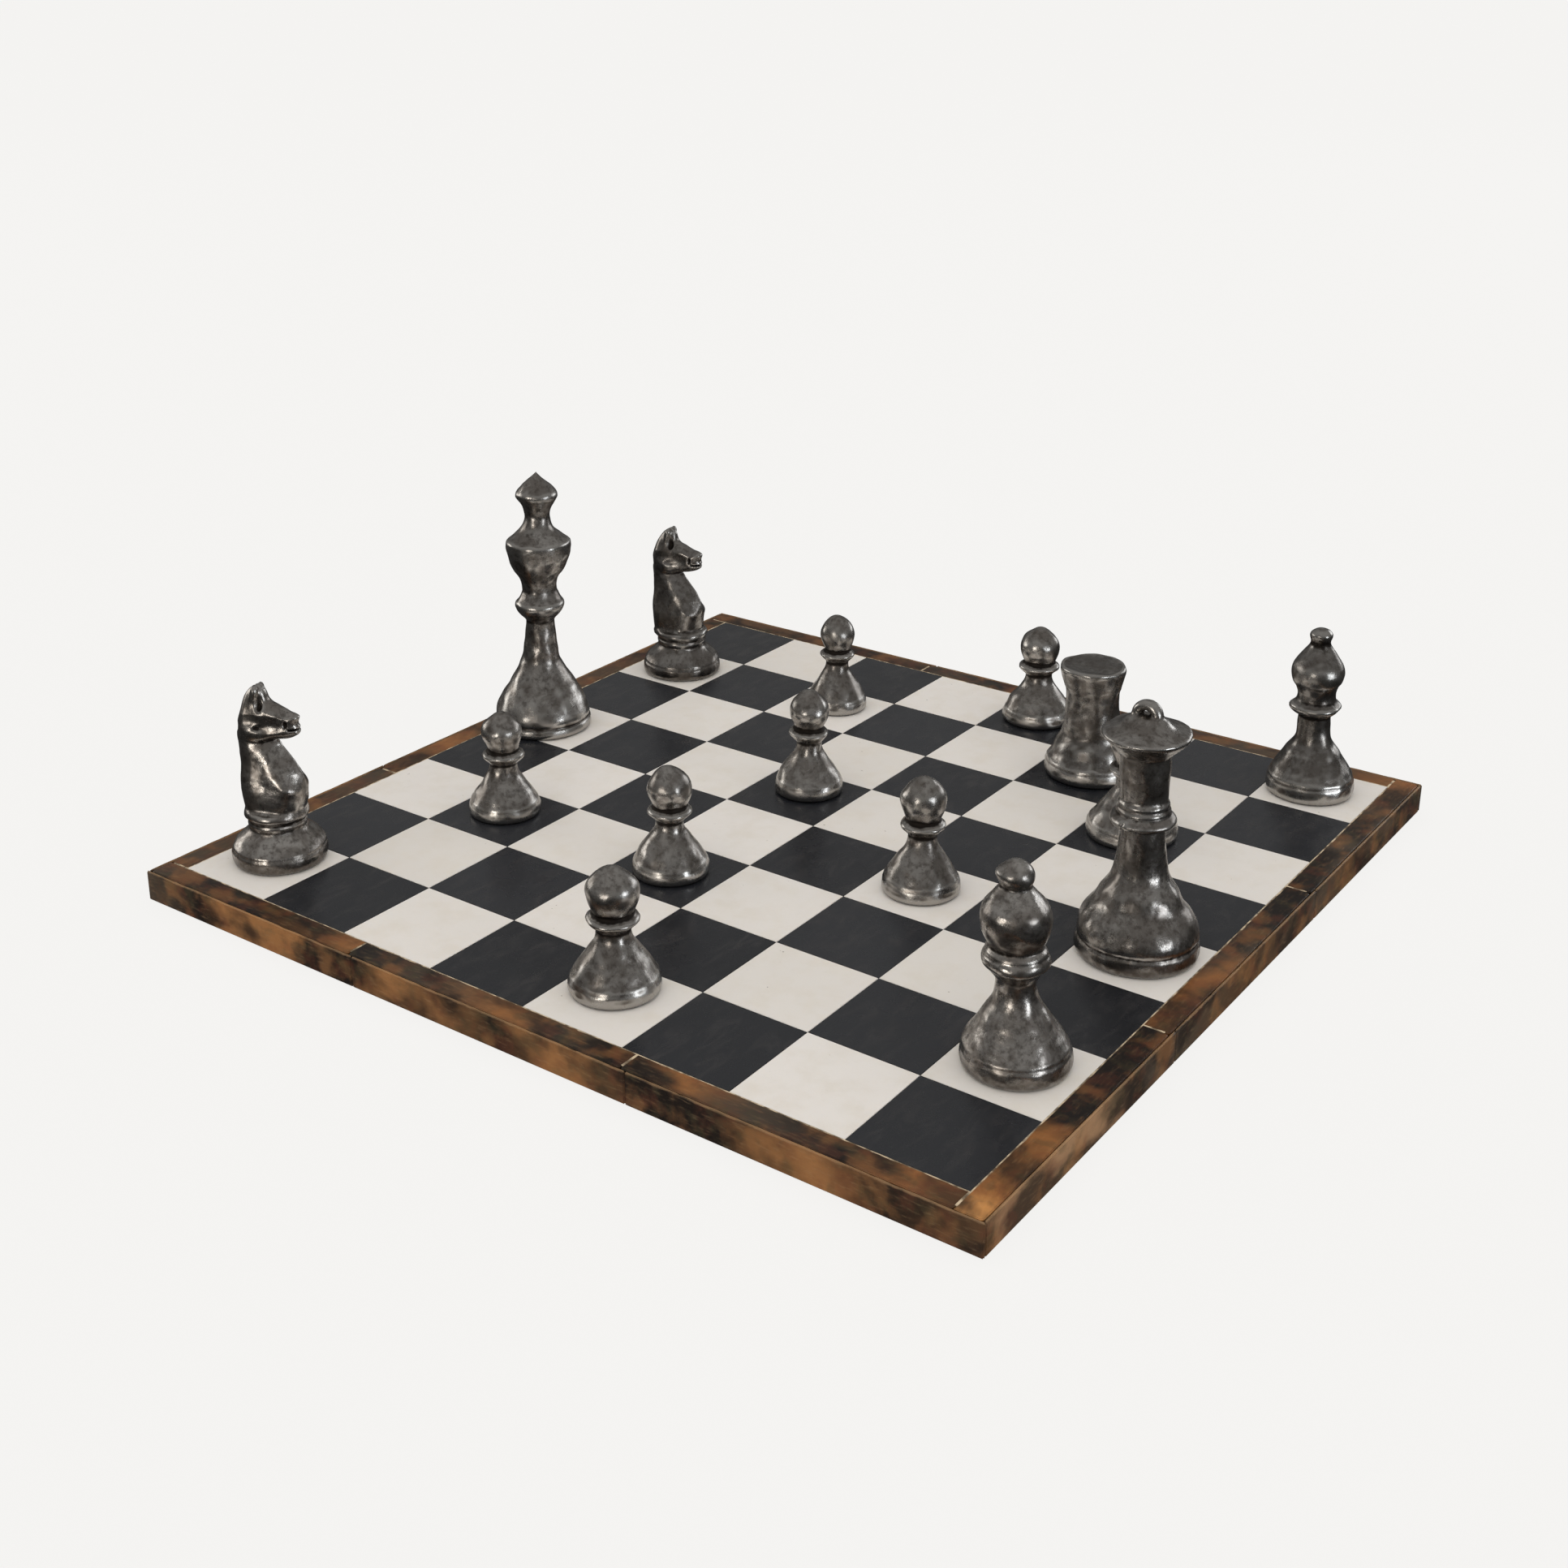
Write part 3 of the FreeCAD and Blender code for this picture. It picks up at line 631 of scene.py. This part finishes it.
def tiles(node, parity, material, seed):
    """The tiles of one colour, each set a hair higher, lower or askew."""
    low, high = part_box(node)
    pitch = (high.x - low.x + TILE_GAP) / SQUARES
    rng = np.random.default_rng(seed)
    bm = bmesh.new()
    for column in range(SQUARES):
        for row in range(SQUARES):
            if (column + row) % 2 != parity:
                continue
            corner = Vector((low.x + column * pitch, low.y + row * pitch, low.z))
            far = corner + Vector((pitch - TILE_GAP, pitch - TILE_GAP, high.z - low.z))
            lift, tilt_x, tilt_y = rng.uniform(-0.03, 0) * MM, *rng.normal(0, 0.0006, 2)
            middle = (corner + far) / 2
            verts = add_block(bm, corner, far)
            for vert in verts:
                if vert.co.z > middle.z:
                    vert.co.z += lift + tilt_x * (vert.co.x - middle.x) + tilt_y * (vert.co.y - middle.y)
    top_edges = [e for e in bm.edges if all(v.co.z > (low.z + high.z) / 2 for v in e.verts)]
    bmesh.ops.bevel(bm, geom=top_edges, offset=TILE_BEVEL, segments=2, affect="EDGES")
    board_piece(join_bmesh(node + "_inlay", bm, material), node)


def board_piece(obj, node):
    """Rides on the board and stands for one of its nodes."""
    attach(obj, "board")
    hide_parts(node)


def divide_long_edges(bm):
    long_edges = [e for e in bm.edges if e.calc_length() > LONG_EDGE]
    bmesh.ops.subdivide_edges(bm, edges=long_edges, cuts=LONG_EDGE_CUTS, use_grid_fill=True)


def across(edge, axis):
    """How far an edge runs along an axis."""
    return abs(edge.verts[0].co[axis] - edge.verts[1].co[axis])


def horn_strip(node, material, seed):
    """One length of horn: worn edges, and on top its outer corners rubbed round."""
    low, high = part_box(node)
    size = high - low
    axis = 0 if size.x > size.y else 1
    middle = (low + high) / 2
    sideways = 1 - axis
    outward = math.copysign(1, middle[sideways])
    bm = bmesh.new()
    add_block(bm, low, high)
    if node.startswith("border_top"):
        upright = [e for e in bm.edges if across(e, 2) > 0]
        corners = [e for e in upright if (e.verts[0].co[sideways] - middle[sideways]) * outward > 0]
        bmesh.ops.bevel(bm, geom=corners, offset=WORN_CORNER, segments=4, affect="EDGES", profile=0.5)
        upper = [e for e in bm.edges if min(v.co.z for v in e.verts) > middle.z]
        bmesh.ops.bevel(bm, geom=upper, offset=TOP_EASING, segments=3, affect="EDGES")
    else:
        bmesh.ops.bevel(bm, geom=list(bm.edges), offset=SIDE_EASING, segments=3, affect="EDGES")
    long_edges = [e for e in bm.edges if across(e, axis) > size[axis] / 2]
    bmesh.ops.subdivide_edges(bm, edges=long_edges, cuts=int(size[axis] / STRIP_STEP), use_grid_fill=True)
    obj = join_bmesh(node + "_horn", bm, material)
    places = vertex_places(obj)
    near_top = np.clip(1 - (high.z - places[:, 2]) / WORN_DEPTH, 0, 1)
    wear = np.abs(lumps(places * 1.4, seed)) * near_top * 0.9
    places += np.sign(np.array(middle) - places) * wear[:, None] * (0.6, 0.6, 0.12)
    move_vertices(obj, places)
    board_piece(obj, node)


def glue_bed(material):
    """The pale glue under the border, which shows where the horn's edges have worn."""
    low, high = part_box("light_tiles")
    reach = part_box("border_top_right_1")[1].x - GLUE_INSET
    bottom = BOARD_TOP - GLUE_BOTTOM_DEPTH
    top = BOARD_TOP - GLUE_TOP_DEPTH
    bm = bmesh.new()
    for x, y, far_x, far_y in ((-reach, -reach, reach, low.y), (-reach, high.y, reach, reach),
                               (-reach, low.y, low.x, high.y), (high.x, low.y, reach, high.y)):
        add_block(bm, (x, y, bottom), (far_x, far_y, top))
    divide_long_edges(bm)
    obj = join_bmesh("glue_bed", bm, material)
    places = vertex_places(obj)
    upper = places[:, 2] > (bottom + top) / 2
    places[:, 2] -= np.abs(lumps(places, 71)) * 0.2 * upper
    move_vertices(obj, places)
    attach(obj, "board")


def baize_sheet(material):
    """The felt glued under the board, its edge cut by hand."""
    low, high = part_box("baize")
    bm = bmesh.new()
    add_block(bm, low, high)
    bmesh.ops.bevel(bm, geom=list(bm.edges), offset=BAIZE_EASING, segments=2, affect="EDGES")
    divide_long_edges(bm)
    obj = join_bmesh("baize_sheet", bm, material)
    places = vertex_places(obj)
    waviness = lumps(places * (1, 1, 0), 77)
    inward = np.clip(waviness * 4, 0, BAIZE_MARGIN)
    at_edge = np.abs(places[:, :2]) > high.x - BAIZE_MARGIN
    places[:, :2] -= np.sign(places[:, :2]) * inward[:, None] * at_edge
    move_vertices(obj, places)
    board_piece(obj, "baize")


# --------------------------------------------------------------- materials

class Shader:
    """Builds the node tree of one material."""

    def __init__(self, name):
        self.material = bpy.data.materials.new(name)
        self.material.use_nodes = True
        self.tree = self.material.node_tree
        self.tree.nodes.clear()
        self.surface = self.tree.nodes.new("ShaderNodeBsdfPrincipled")
        output = self.tree.nodes.new("ShaderNodeOutputMaterial")
        self.tree.links.new(self.surface.outputs["BSDF"], output.inputs["Surface"])
        self.place = self.tree.nodes.new("ShaderNodeTexCoord").outputs["Object"]

    def link(self, value, socket):
        """Connects an output, or sets a constant."""
        if isinstance(value, bpy.types.NodeSocket):
            self.tree.links.new(value, socket)
        else:
            socket.default_value = value

    def scaled(self, factors):
        """The place, stretched by a factor along each axis."""
        node = self.tree.nodes.new("ShaderNodeVectorMath")
        node.operation = "MULTIPLY"
        self.link(self.place, node.inputs[0])
        node.inputs[1].default_value = factors
        return node.outputs["Vector"]

    def noise(self, size, detail=3, roughness=0.55, stretch=None, distortion=0):
        """Noise from 0 to 1 with features of about the given size in metres."""
        node = self.tree.nodes.new("ShaderNodeTexNoise")
        self.link(self.scaled(stretch) if stretch else self.place, node.inputs["Vector"])
        node.inputs["Scale"].default_value = 1 / size
        node.inputs["Detail"].default_value = detail
        node.inputs["Roughness"].default_value = roughness
        node.inputs["Distortion"].default_value = distortion
        return node.outputs["Fac"]

    def attribute(self, name):
        node = self.tree.nodes.new("ShaderNodeAttribute")
        node.attribute_name = name
        return node.outputs["Fac"]

    def math(self, operation, a, b=0.0):
        node = self.tree.nodes.new("ShaderNodeMath")
        node.operation = operation
        self.link(a, node.inputs[0])
        self.link(b, node.inputs[1])
        return node.outputs[0]

    def remap(self, value, low, high, to_low=0.0, to_high=1.0):
        node = self.tree.nodes.new("ShaderNodeMapRange")
        node.interpolation_type = "SMOOTHSTEP"
        self.link(value, node.inputs["Value"])
        for socket, number in zip(("From Min", "From Max", "To Min", "To Max"), (low, high, to_low, to_high)):
            node.inputs[socket].default_value = number
        return node.outputs["Result"]

    def mix(self, share, a, b):
        node = self.tree.nodes.new("ShaderNodeMix")
        node.data_type = "RGBA"
        self.link(share, node.inputs["Factor"])
        for socket, value in (("A", a), ("B", b)):
            inputs = [i for i in node.inputs if i.name == socket and i.type == "RGBA"]
            self.link(value, inputs[0])
        return [o for o in node.outputs if o.type == "RGBA"][0]

    def deepened(self, colour, gamma):
        """The colour with its darks made darker."""
        node = self.tree.nodes.new("ShaderNodeGamma")
        self.link(colour, node.inputs["Color"])
        node.inputs["Gamma"].default_value = gamma
        return node.outputs["Color"]

    def ramp(self, value, stops):
        """A colour ramp; stops are (place, colour)."""
        node = self.tree.nodes.new("ShaderNodeValToRGB")
        elements = node.color_ramp.elements
        while len(elements) < len(stops):
            elements.new(1.0)
        for element, (place, colour) in zip(elements, stops):
            element.position = place
            element.color = colour
        self.link(value, node.inputs["Fac"])
        return node.outputs["Color"]

    def cell(self, size):
        """A random number for each square cell of the given size."""
        node = self.tree.nodes.new("ShaderNodeVectorMath")
        node.operation = "FLOOR"
        self.link(self.scaled((1 / size, 1 / size, 0)), node.inputs[0])
        random = self.tree.nodes.new("ShaderNodeTexWhiteNoise")
        self.link(node.outputs["Vector"], random.inputs["Vector"])
        return random.outputs["Value"]

    def axis(self, name):
        node = self.tree.nodes.new("ShaderNodeSeparateXYZ")
        self.link(self.place, node.inputs["Vector"])
        return node.outputs[name]

    def bump(self, height, depth, strength=1.0):
        node = self.tree.nodes.new("ShaderNodeBump")
        node.inputs["Strength"].default_value = strength
        node.inputs["Distance"].default_value = depth
        self.link(height, node.inputs["Height"])
        self.link(node.outputs["Normal"], self.surface.inputs["Normal"])

    def finish(self, colour, roughness, metallic=0.0):
        self.link(colour, self.surface.inputs["Base Color"])
        self.link(roughness, self.surface.inputs["Roughness"])
        self.surface.inputs["Metallic"].default_value = metallic
        return self.material


def srgb(red, green, blue):
    """A colour given as 0 to 255 display values."""
    def linear(value):
        value /= 255
        return value / 12.92 if value <= 0.04045 else ((value + 0.055) / 1.055) ** 2.4
    return (linear(red), linear(green), linear(blue), 1)


DULL_METAL = (0.27, 0.246, 0.225)
BRIGHT_METAL = (0.46, 0.438, 0.413)
SMEARED_METAL = (0.13, 0.113, 0.099, 1)
DIRT_AND_SHADE = (0.035, 0.029, 0.025, 1)
FOOT_SHADE = (0.07, 0.058, 0.048, 1)
RUBBED_METAL = (0.62, 0.60, 0.57, 1)


def antique_metal(painted_brightness):
    """Dark nickel-plated casting: mottled and pitted, with patina and painted shade in the hollows and
    painted shade at its foot.
    """
    s = Shader(f"antique_metal_{round(100 * painted_brightness)}")
    # Painted light: the metal's tones scaled by the chessman's painted brightness
    dull_patch, bright_patch = ((*(painted_brightness * part for part in tone), 1) for tone in (DULL_METAL, BRIGHT_METAL))
    blotches = s.noise(9 * MM, detail=4, roughness=0.62, distortion=0.6)
    smears = s.noise(2.4 * MM, detail=5, roughness=0.68)
    hollow = s.attribute("hollow")
    bright = s.mix(s.remap(blotches, 0.38, 0.66), dull_patch, bright_patch)
    toned = s.mix(s.remap(smears, 0.44, 0.66, 0, 0.72), bright, SMEARED_METAL)
    # Patina and painted shade: the hollows darkened, with random smears mixed in
    dirt_and_shade = s.math("ADD", hollow, s.math("MULTIPLY", s.math("SUBTRACT", smears, 0.5), 0.45))
    colour = s.mix(s.remap(dirt_and_shade, 0.56, 0.82), toned, DIRT_AND_SHADE)
    # Painted shade: the lowest few millimetres of each chessman darkened towards the board
    foot_shade_share = s.remap(s.axis("Z"), BOARD_TOP + 2.5 * MM, BOARD_TOP + 7 * MM, 0.78, 0)
    colour = s.mix(foot_shade_share, colour, FOOT_SHADE)
    colour = s.mix(s.remap(hollow, 0.40, 0.20, 0, 0.6), colour, RUBBED_METAL)
    pits = s.noise(0.8 * MM, roughness=0.7)
    grain = s.noise(2.6 * MM, detail=5, roughness=0.7)
    s.bump(s.math("ADD", s.math("MULTIPLY", pits, 0.30), grain), 0.16 * MM, 0.6)
    roughness = s.math("ADD", s.remap(blotches, 0.3, 0.7, 0.32, 0.22), s.remap(dirt_and_shade, 0.55, 0.9, 0, 0.3))
    return s.finish(colour, roughness, metallic=1.0)


def bone():
    """Pale bone tiles, faintly mottled, each a little different."""
    s = Shader("bone")
    tile = s.cell(SQUARE)
    base = s.mix(tile, srgb(219, 213, 206), srgb(210, 204, 196))
    cloud = s.noise(14 * MM, detail=4, roughness=0.6)
    base = s.mix(s.remap(cloud, 0.4, 0.75, 0, 0.45), base, srgb(205, 196, 182))
    flecks = s.noise(0.8 * MM, detail=2, stretch=(1, 3.2, 1))
    base = s.mix(s.remap(flecks, 0.62, 0.8, 0, 0.35), base, srgb(188, 176, 158))
    specks = s.noise(2.0 * MM, detail=1)
    base = s.mix(s.remap(specks, 0.80, 0.83, 0, 0.7), base, srgb(96, 78, 60))
    s.bump(s.noise(5 * MM, detail=4), 0.05 * MM, 0.4)
    s.surface.inputs["Subsurface Weight"].default_value = 0.08
    s.surface.inputs["Subsurface Radius"].default_value = (1.5 * MM, 1.1 * MM, 0.7 * MM)
    return s.finish(base, s.remap(cloud, 0.3, 0.7, 0.36, 0.48))


def black_horn():
    """Near-black polished tiles with faint streaks and hairline scratches."""
    s = Shader("black_horn")
    tile = s.cell(SQUARE)
    base = s.mix(tile, srgb(26, 27, 30), srgb(37, 38, 41))
    streaks = s.noise(7 * MM, detail=5, roughness=0.65, stretch=(1, 0.35, 1), distortion=0.8)
    base = s.mix(s.remap(streaks, 0.45, 0.75, 0, 0.55), base, srgb(52, 50, 50))
    grain = s.noise(0.5 * MM, detail=2)
    base = s.mix(s.remap(grain, 0.55, 0.8, 0, 0.35), base, srgb(66, 66, 68))
    scratches = s.noise(0.9 * MM, detail=1, stretch=(0.06, 1.6, 1))
    s.bump(s.math("ADD", s.noise(9 * MM), s.math("MULTIPLY", scratches, 0.04)), 0.12 * MM, 0.5)
    return s.finish(base, s.remap(s.noise(12 * MM, detail=4), 0.3, 0.7, 0.20, 0.34))


DARK = srgb(38, 31, 27)
BROWN = srgb(92, 67, 44)
GREY = srgb(84, 72, 60)
AMBER = srgb(150, 106, 64)
TAN = srgb(160, 126, 94)
PALE = srgb(200, 150, 94)

# How much darker each kind of length is than its colours alone make it; the tops are darkened more, as
# painted shade against the light from above
TOP_DEPTH_AND_SHADE = 1.24
SIDE_DEPTH = 1.1

# Colours along each length of horn, from its start to its end
HORN_TONES = {
    "border_top_front_1": [(0, GREY), (0.3, DARK), (0.55, DARK), (0.75, BROWN), (1, AMBER)],
    "border_top_front_2": [(0, DARK), (0.30, GREY), (0.55, AMBER), (0.78, GREY), (1, DARK)],
    "border_top_front_3": [(0, DARK), (0.15, AMBER), (0.4, GREY), (0.7, DARK),
                            (0.88, AMBER), (1, BROWN)],
    "border_side_front_1": [(0, GREY), (0.28, DARK), (0.4, AMBER), (0.75, AMBER),
                            (0.82, DARK), (1, DARK)],
    "border_side_front_2": [(0, DARK), (0.16, AMBER), (0.45, BROWN), (0.55, DARK), (0.75, AMBER), (1, BROWN)],
    "border_side_front_3": [(0, DARK), (0.30, DARK), (0.55, AMBER), (0.75, DARK), (1, BROWN)],
    "border_top_right_1": [(0, PALE), (0.12, AMBER), (0.2, BROWN), (0.38, AMBER), (0.46, DARK), (1, DARK)],
    "border_top_right_2": [(0, AMBER), (0.35, AMBER), (0.5, GREY), (0.8, DARK), (1, DARK)],
    "border_top_right_3": [(0, DARK), (0.3, GREY), (0.65, GREY), (1, AMBER)],
    "border_side_right_1": [(0, BROWN), (0.10, TAN), (0.6, TAN), (0.8, GREY), (1, GREY)],
    "border_side_right_2": [(0, GREY), (0.5, BROWN), (1, GREY)],
    "border_side_right_3": [(0, GREY), (0.3, BROWN), (0.7, GREY), (1, GREY)],
    "border_top_left_1": [(0, GREY), (0.5, BROWN), (1, GREY)],
    "border_top_left_2": [(0, BROWN), (0.3, AMBER), (0.6, GREY), (1, GREY)],
    "border_top_left_3": [(0, GREY), (0.4, BROWN), (0.8, DARK), (1, BROWN)],
    "border_top_back_1": [(0, BROWN), (0.5, BROWN), (0.8, DARK), (1, BROWN)],
    "border_top_back_2": [(0, GREY), (0.4, DARK), (0.7, BROWN), (1, GREY)],
    "border_top_back_3": [(0, DARK), (0.4, GREY), (0.8, BROWN), (1, AMBER)],
    "border_side_left_1": [(0, DARK), (0.5, AMBER), (1, BROWN)],
    "border_side_left_2": [(0, BROWN), (0.5, DARK), (1, AMBER)],
    "border_side_left_3": [(0, GREY), (0.6, AMBER), (1, DARK)],
    "border_side_back_1": [(0, AMBER), (0.4, DARK), (1, BROWN)],
    "border_side_back_2": [(0, GREY), (0.6, TAN), (1, DARK)],
    "border_side_back_3": [(0, DARK), (0.5, AMBER), (1, GREY)],
}


def mottled_horn(node):
    """Polished horn whose cloudy colours run along one length."""
    s = Shader(node + "_finish")
    low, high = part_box(node)
    along_x = high.x - low.x > high.y - low.y
    start, end = (low.x, high.x) if along_x else (low.y, high.y)
    stretch = (0.6, 1, 1) if along_x else (1, 0.6, 1)
    cloud = s.noise(15 * MM, detail=5, roughness=0.6, stretch=stretch, distortion=0.5)
    share = s.math("DIVIDE", s.math("SUBTRACT", s.axis("X" if along_x else "Y"), start), end - start)
    share = s.math("ADD", share, s.math("MULTIPLY", s.math("SUBTRACT", cloud, 0.5), 0.30))
    base = s.ramp(share, HORN_TONES[node])
    smoke = s.noise(20 * MM, detail=4, roughness=0.5, stretch=stretch, distortion=0.3)
    base = s.mix(s.remap(smoke, 0.44, 0.62, 0, 0.82), base, srgb(38, 30, 25))
    glow = s.noise(16 * MM, detail=4, roughness=0.5)
    base = s.mix(s.remap(glow, 0.48, 0.66, 0, 0.45), base, srgb(158, 112, 68))
    ruddy = s.noise(9 * MM, detail=4)
    base = s.mix(s.remap(ruddy, 0.48, 0.66, 0, 0.30), base, srgb(112, 64, 44))
    olive = s.noise(8 * MM, detail=4, stretch=(1.1, 1.2, 1.3))
    base = s.mix(s.remap(olive, 0.50, 0.66, 0, 0.30), base, srgb(84, 76, 52))
    fibres = s.noise(1.1 * MM, stretch=(0.2, 1, 1) if along_x else (1, 0.2, 1))
    base = s.mix(s.remap(fibres, 0.50, 0.8, 0, 0.20), base, srgb(176, 146, 110))
    if node.startswith("border_side"):
        below_rim = s.math("SUBTRACT", high.z, s.axis("Z"))
        ragged = s.math("MULTIPLY", s.noise(9 * MM, detail=5, roughness=0.7), 1.3 * MM)
        worn = s.remap(s.math("SUBTRACT", below_rim, ragged), -0.45 * MM, 0.05 * MM, 0.55, 0)
        base = s.mix(worn, base, srgb(160, 128, 92))
    # Painted shade: the tops of the border are deepened more than its sides
    base = s.deepened(base, TOP_DEPTH_AND_SHADE if node.startswith("border_top") else SIDE_DEPTH)
    s.bump(s.math("ADD", s.noise(6 * MM, detail=4), s.math("MULTIPLY", fibres, 0.25)), 0.10 * MM, 0.5)
    s.surface.inputs["Specular IOR Level"].default_value = 0.36
    return s.finish(base, s.remap(smoke, 0.3, 0.7, 0.34, 0.46))


def glue():
    s = Shader("old_glue")
    patches = s.noise(4 * MM)
    colour = s.mix(s.remap(patches, 0.35, 0.65), srgb(196, 176, 146), srgb(96, 80, 60))
    s.bump(s.noise(1 * MM), 0.05 * MM, 0.5)
    return s.finish(colour, 0.7)


def felt(name, colour, lint):
    """Pressed felt: fine fibres with specks of lint."""
    s = Shader(name)
    fibres = s.noise(0.5 * MM, detail=4, roughness=0.7)
    base = s.mix(s.remap(fibres, 0.35, 0.7), colour, lint)
    s.bump(fibres, 0.25 * MM, 0.8)
    s.surface.inputs["Sheen Weight"].default_value = 0.35
    return s.finish(base, 0.95)


def core_wood():
    """The plain wood under the tiles, seen only in the joints."""
    s = Shader("core_wood")
    grain = s.noise(3 * MM, detail=4, stretch=(0.08, 1, 1))
    base = s.mix(grain, srgb(60, 46, 34), srgb(96, 76, 56))
    s.bump(grain, 0.1 * MM, 0.5)
    return s.finish(base, 0.7)


# --------------------------------------------------------------- the scene

def build_board():
    tiles("light_tiles", 0, bone(), 5)
    tiles("dark_tiles", 1, black_horn(), 6)
    for seed, node in enumerate(HORN_TONES):
        horn_strip(node, mottled_horn(node), 200 + seed)
    glue_bed(glue())
    baize_sheet(felt("baize_felt", srgb(30, 30, 30), srgb(58, 56, 54)))
    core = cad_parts["board_core"]
    core.data.materials.clear()
    core.data.materials.append(core_wood())


def build_chessmen():
    # One copy of the metal for each painted brightness: lit and shaded copies of one finish
    metals = {painted_brightness: antique_metal(painted_brightness) for painted_brightness in (1.0, *sorted(set(PAINTED_BRIGHTNESS.values())))}
    pad = felt("foot_felt", srgb(34, 33, 32), srgb(66, 62, 58))
    for number, name in enumerate(KIND_OF):
        casting(name, number, metals[PAINTED_BRIGHTNESS.get(name, 1.0)])
        felt_disc(name + "_felt", pad)


# How light the studio is, from straight down (0) to straight up (1)
STUDIO_TONES = ((0, 0.02), (0.42, 0.05), (0.5, 0.10), (0.58, 0.17), (0.80, 0.27), (1, 0.33))

# The directions, on the floor, towards the camera's side and to its right
TOWARDS = Vector((0.573, -0.819, 0))
RIGHTWARDS = Vector((0.819, 0.573, 0))
LIGHT_DISTANCE = 3.0

FLOOR_SIZE = 60
BACKDROP_RADIUS = 28


def light(kind, name, direction, power):
    """A light that shines on the board from a direction."""
    data = bpy.data.lights.new(name, kind)
    data.energy = power
    obj = bpy.data.objects.new(name, data)
    obj.rotation_euler = direction.to_track_quat("Z", "Y").to_euler()
    bpy.context.scene.collection.objects.link(obj)
    return obj


def area_light(name, azimuth, elevation, width, height, power, colour):
    """A soft panel aimed at the board; azimuth turns from the camera's side."""
    a, e = math.radians(azimuth), math.radians(elevation)
    level = TOWARDS * math.cos(a) + RIGHTWARDS * math.sin(a)
    direction = level * math.cos(e) + Vector((0, 0, math.sin(e)))
    panel = light("AREA", name, direction, power)
    panel.location = direction * LIGHT_DISTANCE
    panel.visible_camera = False
    panel.data.shape = "RECTANGLE"
    panel.data.size, panel.data.size_y = width, height
    panel.data.color = colour


def sun_light(name, direction, power, spread):
    sun = light("SUN", name, Vector(direction), power)
    sun.data.angle = math.radians(spread)
    sun.visible_glossy = False


def build_lights():
    area_light("left_window", -32, 7, 0.75, 0.85, 10, (1.0, 0.94, 0.86))
    area_light("right_window", 50, 8, 0.85, 0.85, 13, (0.88, 0.94, 1.0))
    area_light("back_left", -116, 12, 1.5, 0.9, 8, (1.0, 0.97, 0.92))
    area_light("back_right", 128, 12, 1.5, 0.9, 8, (0.94, 0.97, 1.0))
    sun_light("overhead", (0.15, -0.25, 1), 2.5, 120)
    world = bpy.data.worlds.new("studio")
    bpy.context.scene.world = world
    world.use_nodes = True
    nodes, links = world.node_tree.nodes, world.node_tree.links
    background = nodes["Background"]
    coordinates = nodes.new("ShaderNodeTexCoord")
    split = nodes.new("ShaderNodeSeparateXYZ")
    ramp = nodes.new("ShaderNodeValToRGB")
    remap = nodes.new("ShaderNodeMapRange")
    remap.inputs["From Min"].default_value = -1
    links.new(coordinates.outputs["Generated"], split.inputs["Vector"])
    links.new(split.outputs["Z"], remap.inputs["Value"])
    links.new(remap.outputs["Result"], ramp.inputs["Fac"])
    elements = ramp.color_ramp.elements
    while len(elements) < len(STUDIO_TONES):
        elements.new(1.0)
    for element, (place, tone) in zip(elements, STUDIO_TONES):
        element.position = place
        element.color = (tone, tone * 0.985, tone * 0.96, 1)
    links.new(ramp.outputs["Color"], background.inputs["Color"])


def glowing(name, base, strength):
    """A plain pale finish that lights itself, so that shadows on it stay faint."""
    material = bpy.data.materials.new(name)
    material.use_nodes = True
    surface = material.node_tree.nodes["Principled BSDF"]
    surface.inputs["Base Color"].default_value = (base, base, base * 0.975, 1)
    surface.inputs["Roughness"].default_value = 1.0
    surface.inputs["Specular IOR Level"].default_value = 0.0
    surface.inputs["Emission Color"].default_value = (0.98, 0.97, 0.953, 1)
    surface.inputs["Emission Strength"].default_value = strength
    return material


def build_stage():
    """A plain pale floor, and a backdrop of the same tone round it that casts no light."""
    bpy.ops.mesh.primitive_plane_add(size=FLOOR_SIZE)
    floor = bpy.context.object
    floor.name = "floor"
    floor.data.materials.append(glowing("pale_floor", 0.05, 0.872))
    floor.visible_glossy = False
    bpy.ops.mesh.primitive_uv_sphere_add(segments=64, ring_count=32, radius=BACKDROP_RADIUS)
    backdrop = bpy.context.object
    backdrop.name = "backdrop"
    backdrop.data.materials.append(glowing("pale_backdrop", 0.0, 0.94))
    backdrop.visible_diffuse = backdrop.visible_glossy = False
    backdrop.visible_transmission = backdrop.visible_shadow = False


def build_camera():
    data = bpy.data.cameras.new("camera")
    data.lens = 45.63
    data.sensor_width = 36
    data.shift_x = 0.0316
    data.shift_y = -0.1014
    camera = bpy.data.objects.new("camera", data)
    camera.location = (0.42225, -0.62450, 0.37398)
    heading = Matrix.Rotation(math.radians(36.547), 4, "Z")
    pitch = Matrix.Rotation(math.radians(90 - 19.835), 4, "X")
    roll = Matrix.Rotation(math.radians(-0.162), 4, "Z")
    camera.rotation_euler = (heading @ pitch @ roll).to_euler()
    bpy.context.scene.collection.objects.link(camera)
    bpy.context.scene.camera = camera


bpy.context.scene.view_settings.view_transform = "Standard"
build_board()
build_chessmen()
build_lights()
build_stage()
build_camera()
